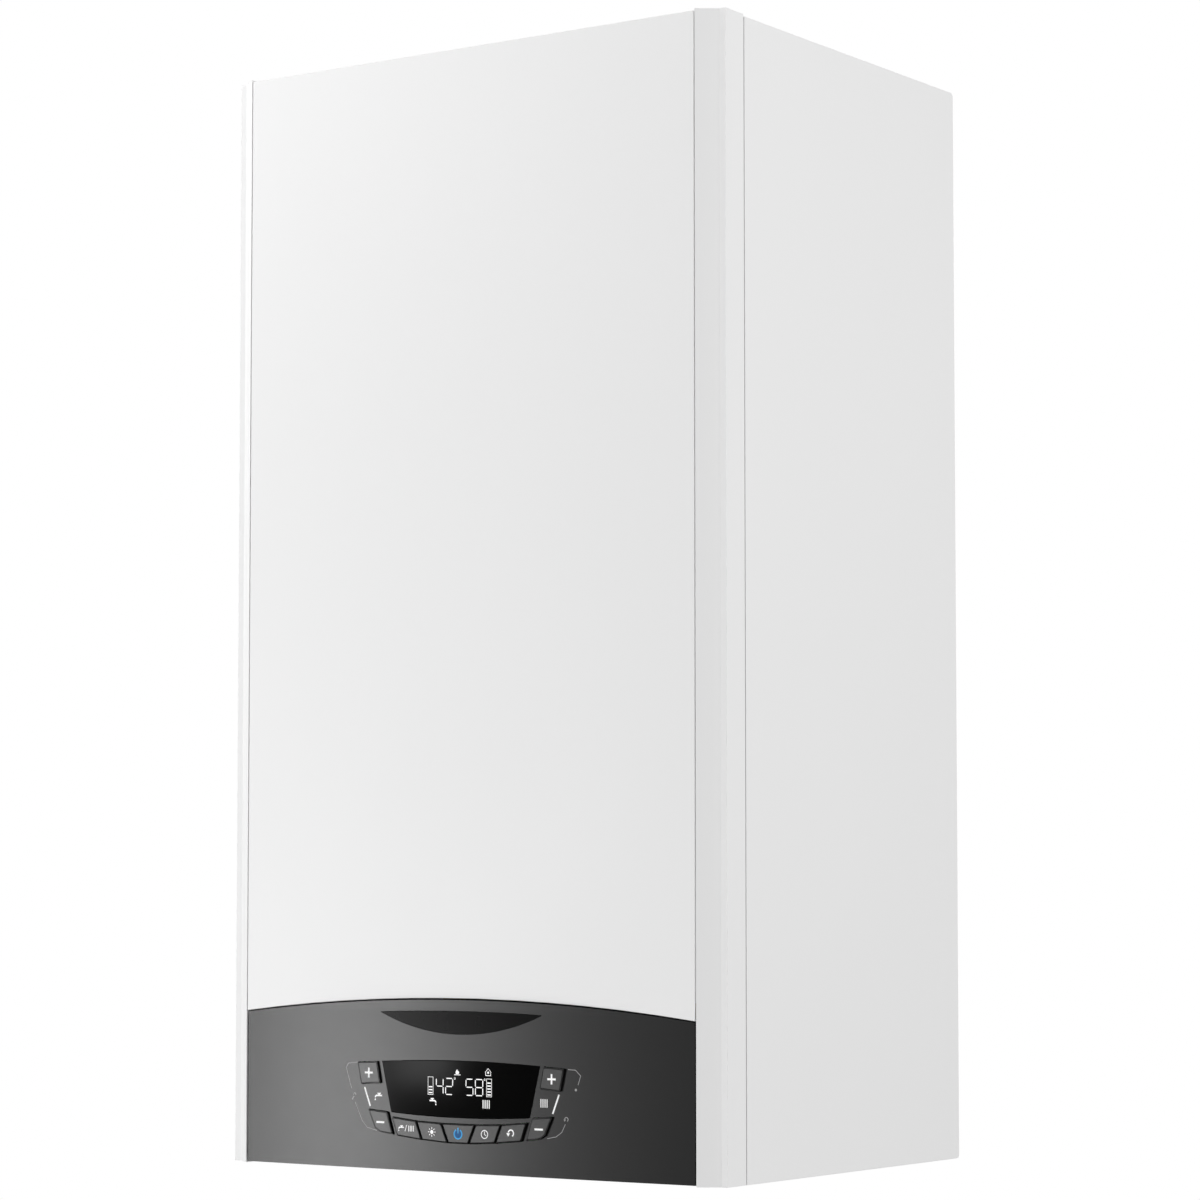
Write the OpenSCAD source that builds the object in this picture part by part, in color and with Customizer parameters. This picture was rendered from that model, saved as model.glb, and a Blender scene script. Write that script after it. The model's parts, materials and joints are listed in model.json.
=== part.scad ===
// Wall-hung system boiler with a lift-off front cover and a tilting control box.
// Heights are measured from the lower edge of the casing and depths from the wall, then every
// piece is lowered so that the origin lies between the two wall screws, on the wall.

/* [Casing] */
// Width of the casing
case_w = 400; // [385:5:430]
// Height of the corner trims, which is the height of the casing
case_h = 745; // [730:5:800]
// Distance from the wall to the crown of the control fascia
case_d = 319; // [316:1:335]
// Distance from the wall to the back frame
wall_gap = 10; // [9:0.5:13]
// Thickness of the painted casing sheet
sheet_t = 1; // [0.8:0.1:1.4]
// Thickness of the back frame sheet
frame_t = 1.2; // [1:0.1:2]
// Width of the folded flanges on the side panels
flange_w = 14; // [10:1:16]
// Height of the open skirt below the bottom panel
skirt_h = 50; // [46:1:54]
// Radius of the rounded rear corners of the side panels
side_corner_r = 3; // [1:0.5:6]

/* [Wall bracket] */
// Drop from the top of the casing to the wall screws
hang_drop = 45; // [42:1:60]
// Distance between the wall screws
wall_screw_pitch = 260; // [220:5:300]
// Radius of the wall screw holes
wall_hole_r = 5; // [4:0.5:6]
// Thickness of the bracket steel
bracket_t = 2.5; // [2:0.25:3]
// Height of the bracket plate
bracket_h = 44; // [40:1:50]
// Width of each hook on the back frame
hook_w = 60; // [40:5:80]

/* [Front cover] */
// Width of each corner trim, seen from the front
trim_w = 17.8; // [15:0.2:22]
// Width of the flat land at the outer edge of the trim
trim_land = 4.8; // [3:0.2:7]
// Depth of the trim's chamfer
trim_chamfer = 9.3; // [6:0.1:12]
// Depth of the trim's side face
trim_side = 21.7; // [18:0.1:26]
// Wall of the corner trim
trim_t = 1.6; // [1.2:0.1:2.2]
// Step from the top of the trims down to the panels between them
panel_step = 1.3; // [0.5:0.1:2.5]
// Width of the groove between the front panel and each trim
groove = 0.7; // [0.4:0.1:1.2]
// Width of the seam between the cover and the side panels
seam = 1; // [0.6:0.1:1.6]
// Depth of the folded edges of the front panel
panel_fold = 12; // [8:1:14]

/* [Control fascia] */
// Height of the fascia at its ends
fascia_h = 102.2; // [98:0.2:110]
// Rise of the arched upper edge
fascia_rise = 11; // [8:0.2:14]
// How far the crown of the fascia stands in front of its ends
fascia_crown = 2.8; // [2:0.1:4]
// How far the crown stands in front of the front panel
fascia_proud = 2; // [1:0.1:3]
// Wall of the fascia moulding
fascia_t = 2.5; // [2:0.1:3]
// Depth of the fascia's rim
fascia_rim = 14; // [12:1:15]
// Height of the sloping band along the upper edge
band_h = 5.8; // [3:0.1:6.4]
// Depth of the sloping band
band_d = 4; // [3:0.5:6]
// Clearance between the fascia and the cover
fascia_gap = 0.9; // [0.6:0.1:1.5]

/* [Display and badge] */
// Width of the display window along its upper edge
window_top_w = 129.2; // [120:0.2:134]
// Width of the display window along its lower edge
window_low_w = 111.6; // [100:0.2:116]
// Height of the window's lower corners
window_z = 38.4; // [37:0.1:40]
// Height of the display window at its corners
window_h = 33.4; // [30:0.2:36]
// Rise of the window's bowed upper and lower edges
window_bow = 1.9; // [0.5:0.1:3]
// Thickness of the window
window_t = 1.6; // [1.2:0.1:2]
// Width of the badge plate
badge_w = 130; // [110:1:140]
// Distance of the badge plate below the arched edge
badge_drop = 7.4; // [7:0.1:10]
// Height of the badge plate at its middle
badge_h = 15; // [12:0.2:18]
// Thickness of the badge plate
badge_t = 1; // [0.8:0.1:1.4]

/* [Keys] */
// How far the keys stand in front of the crown
key_proud = 1.6; // [1:0.1:2.2]
// Travel of a key
key_travel = 0.9; // [0.6:0.1:1.2]
// Clearance round a key
key_gap = 0.4; // [0.25:0.05:0.5]
// Radius of a key's stem
key_stem_r = 2; // [1.5:0.1:2.5]

/* [Control box] */
// Clearance between the control box and each side of the casing
tray_side = 32; // [30:1:40]
// Height of the control box
tray_h = 96; // [88:1:98]
// Depth of the control box
tray_d = 50; // [46:1:54]
// Wall of the control box
tray_t = 2; // [1.6:0.1:2.6]
// Radius of the hinge pins
hinge_r = 4; // [3:0.25:5]
// Thickness of a circuit board
board_t = 1.6; // [1.2:0.2:2]

/* [Flue] */
// Distance of the flue from the wall
flue_y = 150; // [146:1:156]
// Bore of the flue socket, for a 60 mm flue pipe
flue_bore_r = 30.25; // [30:0.05:31]
// Outer radius of the air collar, for a 100 mm air pipe
air_collar_r = 49.75; // [48:0.25:52]
// Height of the air collar above its base
collar_h = 20; // [16:1:24]
// Wall of the flue parts
flue_t = 1.2; // [1:0.1:1.6]
// Depth of the flue socket
socket_h = 34; // [30:1:38]

/* [Combustion] */
// Height of the air chamber's floor above the lower edge of the casing
chamber_z = 301.7; // [295:0.1:310]
// Clearance between the air chamber and the side panels
chamber_side = 18; // [17:0.5:22]
// Clearance between the fin block and the water pipe on each side
fins_side = 12; // [8:0.5:16]
// Room for the gas rail between the front of the air chamber and the fin block
rail_room = 35; // [33:0.5:38]
// Height of the fin block
fins_h = 58; // [50:1:62]
// Number of fins
fin_count = 40; // [30:1:46]
// Thickness of a fin
fin_t = 0.6; // [0.4:0.1:1]
// Radius of the exchanger's tubes as a share of the distance between them
tube_share = 0.346; // [0.3:0.002:0.36]
// Number of burner blades
blade_count = 11; // [9:1:12]
// Height of the burner blades
blade_h = 40; // [36:1:44]
// Height from the burner's overlap to the fins as a share of the air chamber's height
firebox_share = 0.25; // [0.24:0.005:0.265]
// Radius of the fan scroll
scroll_r = 66; // [62:0.5:70]
// Width of the fan scroll
scroll_w = 44; // [40:1:48]
// Radius of the fan impeller
fan_r = 52; // [46:0.5:56]
// Number of blades on the fan impeller
fan_blades = 24; // [16:1:30]
// Wall of the sheet metal round the burner and fan
tin_t = 1; // [0.8:0.1:1.2]

/* [Water and gas] */
// Distance of the connections from the wall
tail_y = 125; // [122:1:128]
// Distance from one connection to the next
tail_pitch = 67; // [64:0.5:68]
// Height of the connections' lower ends
tail_z = 12; // [8:1:16]
// Outer radius of a three-quarter inch thread
thread_34_r = 13.2; // [13:0.05:13.4]
// Outer radius of a half inch thread
thread_12_r = 10.5; // [10.3:0.05:10.6]
// Length of the threads
thread_l = 16; // [14:1:18]
// Bore of the connections
tail_bore_r = 8; // [7:0.25:9]
// Outer radius of the water pipes
pipe_r = 9; // [8:0.25:9.5]
// Wall of the pipes
pipe_t = 1; // [0.8:0.1:1.5]
// Radius of the pump's volute
volute_r = 42; // [38:0.5:44]
// Width of the pump's volute
volute_w = 36; // [32:1:40]
// Radius of the pump's impeller
pump_rotor_r = 32; // [26:0.5:34]
// Radius of the pump's motor
pump_motor_r = 37; // [32:0.5:38]
// Length of the pump's motor
pump_motor_l = 72; // [60:1:76]
// Radius of the expansion vessel
vessel_r = 172; // [160:1:175]
// Depth of the expansion vessel
vessel_d = 82; // [76:1:84]
// Wall of the expansion vessel
vessel_t = 1.2; // [1:0.1:1.6]
// Travel of the diverter valve's spindle each way
diverter_travel = 5; // [3:0.5:6]
// Radius of the pressure gauge
gauge_r = 21; // [18:0.5:24]
// Bore of the cable grommets
grommet_r = 5; // [4:0.25:6]

/* [Hidden] */
$fn = 64;

// Running clearance of a shaft in its bore
running = 0.05;
// Small gap between pieces that don't touch
clear = 0.3;
// Overlap of a cutting shape past the face that it cuts
cut = 1;

// Casing planes
half_w = case_w / 2;
inner_x = half_w - sheet_t;
hang_z = case_h - hang_drop;
top_z = case_h - panel_step;
lid_z = top_z - sheet_t;
rear_y = -wall_gap;
frame_y = rear_y - frame_t;
flange_y = frame_y - sheet_t;
front_y = -(case_d - fascia_proud);
land_y = front_y + trim_chamfer;
cover_y = land_y + trim_side;
side_y = cover_y + seam;
seam_x = half_w - trim_w;
cover_pin_x = inner_x - flange_w / 2;
cover_pin_z = [case_h * 0.2, case_h * 0.9];
cover_pin_r = 2.5;

// Arched upper edge of the fascia and of the panel above it
arch_x = seam_x - fascia_gap;
arch_r = (arch_x * arch_x + fascia_rise * fascia_rise) / (2 * fascia_rise);
arch_z = fascia_h + fascia_rise - arch_r;
fascia_r = arch_x * arch_x / (2 * fascia_crown) + fascia_crown / 2;
fascia_z = 0.8;

// Screws
screw_r = 2;
screw_hole_r = 2.1;
head_r = 4;
head_h = 2.4;
spacer_z = 110;

// Air chamber
chamber_top = lid_z - 9;
chamber_h = chamber_top - chamber_z;
chamber_x = half_w - chamber_side;
vessel_y = frame_y - vessel_d;
chamber_y = vessel_y - 3;
chamber_front_y = side_y + 9;
chamber_lip = 12;
collar_hole_r = air_collar_r + clear;

// Fan
fan_x = scroll_r - 30;
fan_z = chamber_top - 100;
fan_y0 = -(flue_y + scroll_w / 2);
fan_y1 = -(flue_y - scroll_w / 2);
eye_r = 34;
outlet_w = 60;
outlet_z = fan_z + 68;
duct_r = 28.5;
hose_z = outlet_z - 16;
shaft_r = 4;
fan_motor_l = 46;
fan_plate_r = 44;

// Burner, combustion box, exchanger and hood, stacked below the fan
hood_z = fan_z - scroll_r - 1.5;
hood_h = 16;
fins_z = hood_z - hood_h - fins_h;
// How far the burner reaches up into the combustion box
burner_lap = 12;
firebox_z = fins_z + burner_lap - firebox_share * chamber_h;
tube_count = 5;
// The rearmost tube is in line with the connections, this far in front of the fins' rear edge
tube_edge = 12;
tail_x = [for (i = [-2:2]) i * tail_pitch];
fins_w = 2 * (tail_x[4] - pipe_r - fins_side);
fins_y0 = chamber_front_y + rail_room;
fins_y1 = -tail_y + tube_edge;
fins_d = fins_y1 - fins_y0;
exchanger_y = (fins_y0 + fins_y1) / 2;
tube_step = (fins_d - 2 * tube_edge) / (tube_count - 1);
tube_r = tube_share * tube_step;
tube_z = fins_z + fins_h / 2;
firebox_w = fins_w + 2 * tin_t + 4;
firebox_d = fins_d + 2 * tin_t;
blade_z = firebox_z - blade_h + burner_lap;
blade_step = (firebox_w - 34) / blade_count;
rail_y = fins_y0 - tin_t - 14;
rail_z = blade_z + 9;
rail_s = 20;
elbow_r = 18;

// Water and gas group
valve_z = 100;
valve_top = valve_z + 50;
volute_z = 190;
volute_y1 = -(tail_y - volute_w / 2);
volute_y0 = -(tail_y + volute_w / 2);
pump_x = tail_x[4] - volute_r + 14;
pump_out_z = volute_z + volute_r + 18;
vent_x = pump_x - 22;
vent_z = volute_z + volute_r + 6;
pump_shaft_r = 5;
diverter_x = tail_x[0] + tail_pitch / 2;
gas_valve_z = 132;
gas_valve_h = 70;
drain_y = -(tail_y + 40);
drain_r = 7.5;
drain_top = skirt_h - 5;
knob_stem_r = 4;
neck_r = 11;
vessel_z = chamber_z + vessel_r + 6;
vessel_port_z = vessel_z - vessel_r - 16;
link_z = 75;

// Control box
tray_w = case_w - 2 * tray_side;
tray_front_y = front_y + fascia_rim;
tray_rear_y = tray_front_y + tray_d;
tray_z = 6;
lid_t = 2;
bottom_front_y = tray_rear_y + 17;
gauge_x = tail_x[0];
gauge_y = tray_rear_y + 48;
grommet_x = [half_w - 104, half_w - 72, half_w - 40];
grommet_y = tray_rear_y + 39;
hinge_y = tray_rear_y - 8;
hinge_z = tray_z + 9;
hinge_plate_x = tray_w / 2 + 4;
// Planes of the window and the badge plate, halfway down the bow of the fascia
window_face = -case_d + sag(window_top_w / 2) / 2;
window_y = window_face + window_t;
badge_face = -case_d + sag(badge_w / 2) / 2;
badge_y = badge_face + badge_t;
switch_y = tray_front_y - board_t;
switch_h = 3;
plus_key = beside(window_top_w / 2, [[2.9, 71.5], [0.1, 57.5], [16.1, 56.4], [19.2, 70.6]]);
minus_key = beside(window_low_w / 2, [[3.1, 38.5], [-1.6, 24.1], [9.1, 25.3], [13.1, 27.8], [18.7, 39.7]]);
// Upper and lower corners of the dividing lines in the row of keys, from the middle outwards
row_top = [[13.3, 32.6], [34, 33.4], [54.6, 35.3]];
row_low = [[7.9, 20.2], [29.2, 21.4], [50.3, 23.4]];
row_groove = 0.9;

// Points and outlines

// How far the front of the fascia lies behind its crown at x
function sag(x) = fascia_r - sqrt(fascia_r * fascia_r - x * x);
function beside(x, points) = [for (p = points) [x + p[0], p[1]]];
function flip(points) = [for (i = [len(points) - 1:-1:0]) [-points[i][0], points[i][1]]];
function middle(points) = [for (k = [0, 1]) let (c = [for (p = points) p[k]]) (min(c) + max(c)) / 2];
function outward(a, b) = let (d = b - a) [d[1], -d[0]] / norm(d);
// The outline with every edge moved outwards by g; its corners run anticlockwise
function grown(points, g) = let (n = len(points)) [for (i = [0:n - 1])
    let (p = points[i], u = outward(points[(i + n - 1) % n], p), v = outward(p, points[(i + 1) % n]))
    p + (u + v) * g / (1 + u * v)];

power_key = [[-row_top[0][0], row_top[0][1]], [-row_low[0][0], row_low[0][1]],
    row_low[0], row_top[0]];
function row_key(i) = let (t = [row_groove, 0])
    [row_top[i] + t, row_low[i] + t, row_low[i + 1], row_top[i + 1]];
auto_key = row_key(0);
reset_key = row_key(1);
KEYS = [plus_key, minus_key, flip(plus_key), flip(minus_key), power_key, auto_key, reset_key,
    flip(auto_key), flip(reset_key)];

// Helpers

module at_mount() { translate([0, 0, -hang_z]) children(); }
module block(low, high) { translate(low) cube(high - low); }
// A prism whose outline is drawn in x and z and which runs from y0 to y1
module slab(y0, y1) { translate([0, y1, 0]) rotate([90, 0, 0]) linear_extrude(y1 - y0) children(); }
module rod_x(x0, x1, y, z, r) { translate([x0, y, z]) rotate([0, 90, 0]) cylinder(h = x1 - x0, r = r); }
module rod_y(x, y0, y1, z, r) { translate([x, y1, z]) rotate([90, 0, 0]) cylinder(h = y1 - y0, r = r); }
module rod_z(x, y, z0, z1, r) { translate([x, y, z0]) cylinder(h = z1 - z0, r = r); }
module rounded_square(w, h, r) {
    translate([r, 0]) square([w - 2 * r, h]);
    translate([0, r]) square([w, h - 2 * r]);
    for (x = [r, w - r], y = [r, h - r]) translate([x, y]) circle(r);
}
// The piece and its mirror image on the other side
module both_sides() { for (m = [0, 1]) mirror([m, 0, 0]) children(); }

// A round rod that follows straight runs through the points, with bends of radius bend
function unit(v) = v / norm(v);
function turn(u, v) = acos(max(-1, min(1, u * v)));
module run(points, r, bend) {
    n = len(points);
    u = [for (i = [0:n - 2]) unit(points[i + 1] - points[i])];
    t = [for (i = [0:n - 1]) i == 0 || i == n - 1 ? 0 : bend * tan(turn(u[i - 1], u[i]) / 2)];
    for (i = [0:n - 2]) straight(points[i] + u[i] * t[i], points[i + 1] - u[i] * t[i + 1], r);
    if (n > 2) for (i = [1:n - 2]) {
        side = unit(u[i] - (u[i - 1] * u[i]) * u[i - 1]);
        centre = points[i] - u[i - 1] * t[i] + side * bend;
        x = -side;
        y = u[i - 1];
        z = cross(x, y);
        multmatrix([[x[0], y[0], z[0], centre[0]], [x[1], y[1], z[1], centre[1]],
            [x[2], y[2], z[2], centre[2]]])
            rotate_extrude(angle = turn(u[i - 1], u[i])) translate([bend, 0]) circle(r, $fn = 32);
    }
}
module straight(a, b, r) {
    d = unit(b - a);
    translate(a) rotate([0, acos(d[2]), atan2(d[1], d[0])]) cylinder(h = norm(b - a), r = r, $fn = 32);
}
module pipe(points, r, wall, bend) {
    difference() {
        run(points, r, bend);
        run(points, r - wall, bend);
    }
}

// Screw positions
top_screw_x = half_w - 50;
top_screws = [for (x = [-1:1]) [x * top_screw_x, rear_y - 8 - frame_t]];
chamber_screws = [for (x = [-1, 1], z = [0.06, 0.35, 0.65, 0.94])
    [x * (chamber_x - 6), chamber_z + z * chamber_h]];
collar_screw_r = air_collar_r + 7;

module screw() {
    cylinder(h = head_h, r = head_r);
    translate([0, 0, -8]) cylinder(h = 8, r = screw_r);
}

// Casing

module wall_bracket() {
    w = wall_screw_pitch + bracket_h + 6;
    lip_y = -(wall_gap - 1);
    ledge_z = hang_z + bracket_h / 2 - 8;
    color("#b9bdbf") at_mount() difference() {
        union() {
            block([-w / 2, -bracket_t, hang_z - bracket_h / 2], [w / 2, 0, ledge_z]);
            block([-w / 2, lip_y, ledge_z - 2], [w / 2, 0, ledge_z]);
            block([-w / 2, lip_y, ledge_z - 2], [w / 2, lip_y + 2, ledge_z + 12]);
        }
        for (x = [-1, 1]) rod_y(x * wall_screw_pitch / 2, -bracket_t - cut, cut, hang_z, wall_hole_r);
    }
}

module wall_spacers() {
    color("#2b2d2e") at_mount() both_sides() rod_y(half_w - 60, rear_y, 0, spacer_z, 14);
}

module back_frame() {
    hook_z = hang_z + bracket_h / 2 + 4;
    color("#c3c7c9") at_mount() difference() {
        union() {
            block([-inner_x, frame_y, 0], [inner_x, rear_y, lid_z]);
            block([-inner_x + flange_w + 1, frame_y - 14, lid_z - frame_t],
                [inner_x - flange_w - 1, frame_y, lid_z]);
            both_sides() translate([wall_screw_pitch / 4 + 20 - hook_w / 2, 0, 0]) {
                block([0, rear_y, hook_z], [hook_w, -2.2, hook_z + 2]);
                block([0, -4.2, hook_z - 10], [hook_w, -2.2, hook_z + 2]);
            }
        }
        for (p = top_screws) rod_z(p[0], p[1], lid_z - frame_t - cut, lid_z + cut, screw_hole_r);
    }
}

module side_panel() {
    depth = rear_y - side_y;
    color("#f1f3f2") at_mount() {
        translate([inner_x, side_y, 0]) rotate([90, 0, 90]) linear_extrude(sheet_t) {
            rounded_square(depth, top_z, side_corner_r);
            square([depth / 2, top_z]);
        }
        block([inner_x - flange_w, flange_y, side_corner_r], [inner_x, frame_y, lid_z - side_corner_r]);
        difference() {
            block([inner_x - flange_w, side_y, 0], [inner_x, side_y + sheet_t, lid_z]);
            for (z = cover_pin_z)
                rod_y(cover_pin_x, side_y - cut, side_y + sheet_t + cut, z, cover_pin_r + running);
        }
    }
}
module left_side_panel() { mirror([1, 0, 0]) side_panel(); }
module right_side_panel() { side_panel(); }

module top_panel() {
    color("#e8eaea") at_mount() difference() {
        union() {
            block([-inner_x, side_y, lid_z], [inner_x, rear_y, top_z]);
            block([-inner_x + flange_w + 1, side_y, lid_z - 10],
                [inner_x - flange_w - 1, side_y + sheet_t, lid_z]);
        }
        rod_z(0, -flue_y, lid_z - cut, top_z + cut, collar_hole_r);
        for (p = top_screws) rod_z(p[0], p[1], lid_z - cut, top_z + cut, screw_hole_r);
        for (a = [45:90:315]) translate([0, -flue_y, 0]) rotate([0, 0, a])
            rod_z(collar_screw_r, 0, lid_z - cut, top_z + cut, screw_hole_r);
    }
}

module bottom_panel() {
    color("#d7dada") at_mount() difference() {
        union() {
            block([-inner_x, bottom_front_y, skirt_h], [inner_x, flange_y, skirt_h + sheet_t]);
            block([-inner_x, bottom_front_y, skirt_h], [inner_x, bottom_front_y + sheet_t, skirt_h + 12]);
        }
        for (x = tail_x) rod_z(x, -tail_y, skirt_h - cut, skirt_h + sheet_t + cut, 12);
        rod_z(tail_x[3], drain_y, skirt_h - cut, skirt_h + sheet_t + cut, drain_r + clear);
        rod_z(gauge_x, gauge_y, skirt_h - cut, skirt_h + sheet_t + cut, gauge_r);
        for (x = grommet_x) rod_z(x, grommet_y, skirt_h - cut, skirt_h + sheet_t + cut, grommet_r + 3);
    }
}

// The flue pipe fits in the inner socket and the air pipe goes over the outer collar
module flue_collar() {
    floor_z = top_z + 2 + collar_h - socket_h;
    color("#d2d5d6") at_mount() translate([0, -flue_y, 0]) {
        difference() {
            union() {
                rod_z(0, 0, top_z, top_z + 2, air_collar_r + 13);
                rod_z(0, 0, chamber_top - 6, top_z + 2 + collar_h, air_collar_r);
            }
            rod_z(0, 0, chamber_top - 6 - cut, top_z + 2 + collar_h + cut, air_collar_r - flue_t);
            for (a = [45:90:315]) rotate([0, 0, a])
                rod_z(collar_screw_r, 0, top_z - cut, top_z + 2 + cut, screw_hole_r);
        }
        difference() {
            union() {
                rod_z(0, 0, floor_z, top_z + 2 + collar_h, flue_bore_r + flue_t);
                rod_z(0, 0, floor_z - 16, floor_z, duct_r + clear + flue_t);
                for (a = [0:120:240]) rotate([0, 0, a])
                    block([flue_bore_r, -1, floor_z + 2], [air_collar_r - flue_t / 2, 1, top_z - 2]);
            }
            rod_z(0, 0, floor_z + 2, top_z + 2 + collar_h + cut, flue_bore_r);
            rod_z(0, 0, floor_z - 16 - cut, floor_z + 2 + cut, duct_r + clear);
        }
    }
}

module casing_screws() {
    color("#9aa0a3") at_mount() {
        for (p = top_screws) translate([p[0], p[1], top_z]) screw();
        translate([0, -flue_y, top_z + 2]) for (a = [45:90:315])
            rotate([0, 0, a]) translate([collar_screw_r, 0, 0]) screw();
        for (p = chamber_screws) translate([p[0], chamber_front_y - tin_t, p[1]]) rotate([90, 0, 0]) screw();
    }
}

// Front cover

module panel_outline(x, low) {
    difference() {
        translate([-x, fascia_h - 10]) square([2 * x, top_z - fascia_h + 10]);
        translate([0, arch_z]) circle(arch_r + fascia_gap + low, $fn = 800);
    }
}

module front_panel() {
    x = seam_x - groove / 2;
    color("#f4f6f5") at_mount() {
        slab(front_y, front_y + sheet_t) panel_outline(x, 0);
        block([-x, front_y, lid_z], [x, cover_y, top_z]);
        both_sides() block([x - sheet_t, front_y, fascia_h + 12], [x, front_y + panel_fold, lid_z]);
        slab(front_y, front_y + panel_fold - 3) difference() {
            panel_outline(x, 0);
            panel_outline(x + cut, sheet_t);
        }
    }
}

module trim_outline() {
    x0 = seam_x + groove / 2;
    x1 = half_w - trim_land;
    polygon([[x0, front_y], [x1, land_y], [half_w, land_y], [half_w, cover_y], [half_w - trim_t, cover_y],
        [half_w - trim_t, land_y + trim_t], [x1 - trim_t / 2, land_y + trim_t],
        [x0 + trim_t, front_y + 2 * trim_t], [x0 + trim_t, front_y + panel_fold + trim_t],
        [x0, front_y + panel_fold + trim_t]]);
}

module corner_trim() {
    x0 = seam_x + groove / 2;
    foot_y = front_y + panel_fold;
    foot_z = fascia_h + fascia_rise + 6;
    color("#eceeed") at_mount() {
        linear_extrude(case_h) trim_outline();
        for (z = [0, case_h - trim_t]) translate([0, 0, z]) linear_extrude(trim_t)
            polygon([[x0, front_y], [half_w - trim_land, land_y], [half_w, land_y], [half_w, cover_y],
                [x0, cover_y]]);
        block([x0 - 10, foot_y, foot_z], [x0 + trim_t, foot_y + trim_t, lid_z]);
        // Pins that locate the cover in the flange of the side panel
        for (z = cover_pin_z) {
            block([cover_pin_x - 5, cover_y - 2, z - 8], [half_w - trim_t / 2, cover_y, z + 8]);
            rod_y(cover_pin_x, cover_y - 1, side_y + sheet_t + 5, z, cover_pin_r);
        }
    }
}
module left_corner_trim() { mirror([1, 0, 0]) corner_trim(); }
module right_corner_trim() { corner_trim(); }

// Sealed chamber, burner, exchanger and fan

module air_chamber() {
    color("#b4b8ba") at_mount() difference() {
        union() {
            difference() {
                block([-chamber_x, chamber_front_y, chamber_z], [chamber_x, chamber_y, chamber_top]);
                block([-chamber_x + tin_t, chamber_front_y + tin_t, chamber_z + tin_t],
                    [chamber_x - tin_t, chamber_y - tin_t, chamber_top - tin_t]);
                block([-chamber_x + chamber_lip, chamber_front_y - cut, chamber_z + chamber_lip],
                    [chamber_x - chamber_lip, chamber_front_y + 2 * tin_t, chamber_top - chamber_lip]);
            }
            // Feet that reach past the expansion vessel to the back frame
            both_sides() for (z = [chamber_z + 8, chamber_top - 40])
                block([chamber_x - 60, chamber_y, z], [chamber_x - 20, frame_y, z + 2]);
        }
        rod_z(0, -flue_y, chamber_top - 2 * tin_t, chamber_top + cut, collar_hole_r);
        rod_z(tail_x[0], -tail_y, chamber_z - cut, chamber_z + 2 * tin_t, pipe_r + clear);
        rod_z(tail_x[4], exchanger_y - tube_step * 2, chamber_z - cut, chamber_z + 2 * tin_t, pipe_r + clear);
        rod_z(0, rail_y, chamber_z - cut, chamber_z + 2 * tin_t, pipe_r + clear);
        for (p = chamber_screws)
            rod_y(p[0], chamber_front_y - cut, chamber_front_y + tin_t + cut, p[1], screw_hole_r);
    }
}

module chamber_front() {
    y0 = chamber_front_y - tin_t;
    color("#c6c9cb") at_mount() difference() {
        union() {
            block([-chamber_x, y0, chamber_z], [chamber_x, chamber_front_y, chamber_top]);
            // Pressed ribs
            for (z = [0.46, 0.65, 0.84]) block([-chamber_x + 40, y0 - 3, chamber_z + z * chamber_h - 9],
                [chamber_x - 40, y0, chamber_z + z * chamber_h + 9]);
        }
        rod_y(0, y0 - cut, chamber_front_y + cut, firebox_z + 30, 16);
        for (p = chamber_screws) rod_y(p[0], y0 - cut, chamber_front_y + cut, p[1], screw_hole_r);
    }
}

module sight_glass() {
    y0 = chamber_front_y - tin_t;
    z = firebox_z + 30;
    color("#86929a") at_mount() {
        rod_y(0, y0, chamber_front_y, z, 15.7);
        difference() {
            rod_y(0, y0 - 2, y0, z, 21);
            rod_y(0, y0 - 2 - cut, y0 + cut, z, 13);
        }
    }
}

module combustion_box() {
    x = firebox_w / 2;
    y0 = exchanger_y - firebox_d / 2;
    y1 = exchanger_y + firebox_d / 2;
    color("#8f9698") at_mount() difference() {
        union() {
            block([-x, y0, firebox_z], [x, y1, fins_z]);
            both_sides() block([60, y1, fins_z - 30], [x - 10, chamber_y - tin_t, fins_z - 28]);
        }
        block([-x + tin_t, y0 + tin_t, firebox_z - cut], [x - tin_t, y1 - tin_t, fins_z + cut]);
        for (e = [-1:1]) rod_y(e * 20, y0 - cut, y0 + tin_t + cut, firebox_z + 14, 4.1);
        // Inspection window in line with the sight glass
        rod_y(0, y0 - cut, y0 + tin_t + cut, firebox_z + 44, 12);
    }
}

module insulation_boards() {
    x = firebox_w / 2 - tin_t;
    y0 = exchanger_y - firebox_d / 2 + tin_t;
    y1 = exchanger_y + firebox_d / 2 - tin_t;
    z0 = firebox_z + 22;
    t = 9;
    color("#e6dfd0") at_mount() {
        both_sides() block([x - t, y0, z0], [x, y1, fins_z - clear]);
        block([-x + t, y1 - t, z0], [x - t, y1, fins_z - clear]);
        difference() {
            block([-x + t, y0, z0], [x - t, y0 + t, fins_z - clear]);
            rod_y(0, y0 - cut, y0 + t + cut, firebox_z + 44, 12);
        }
    }
}

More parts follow.
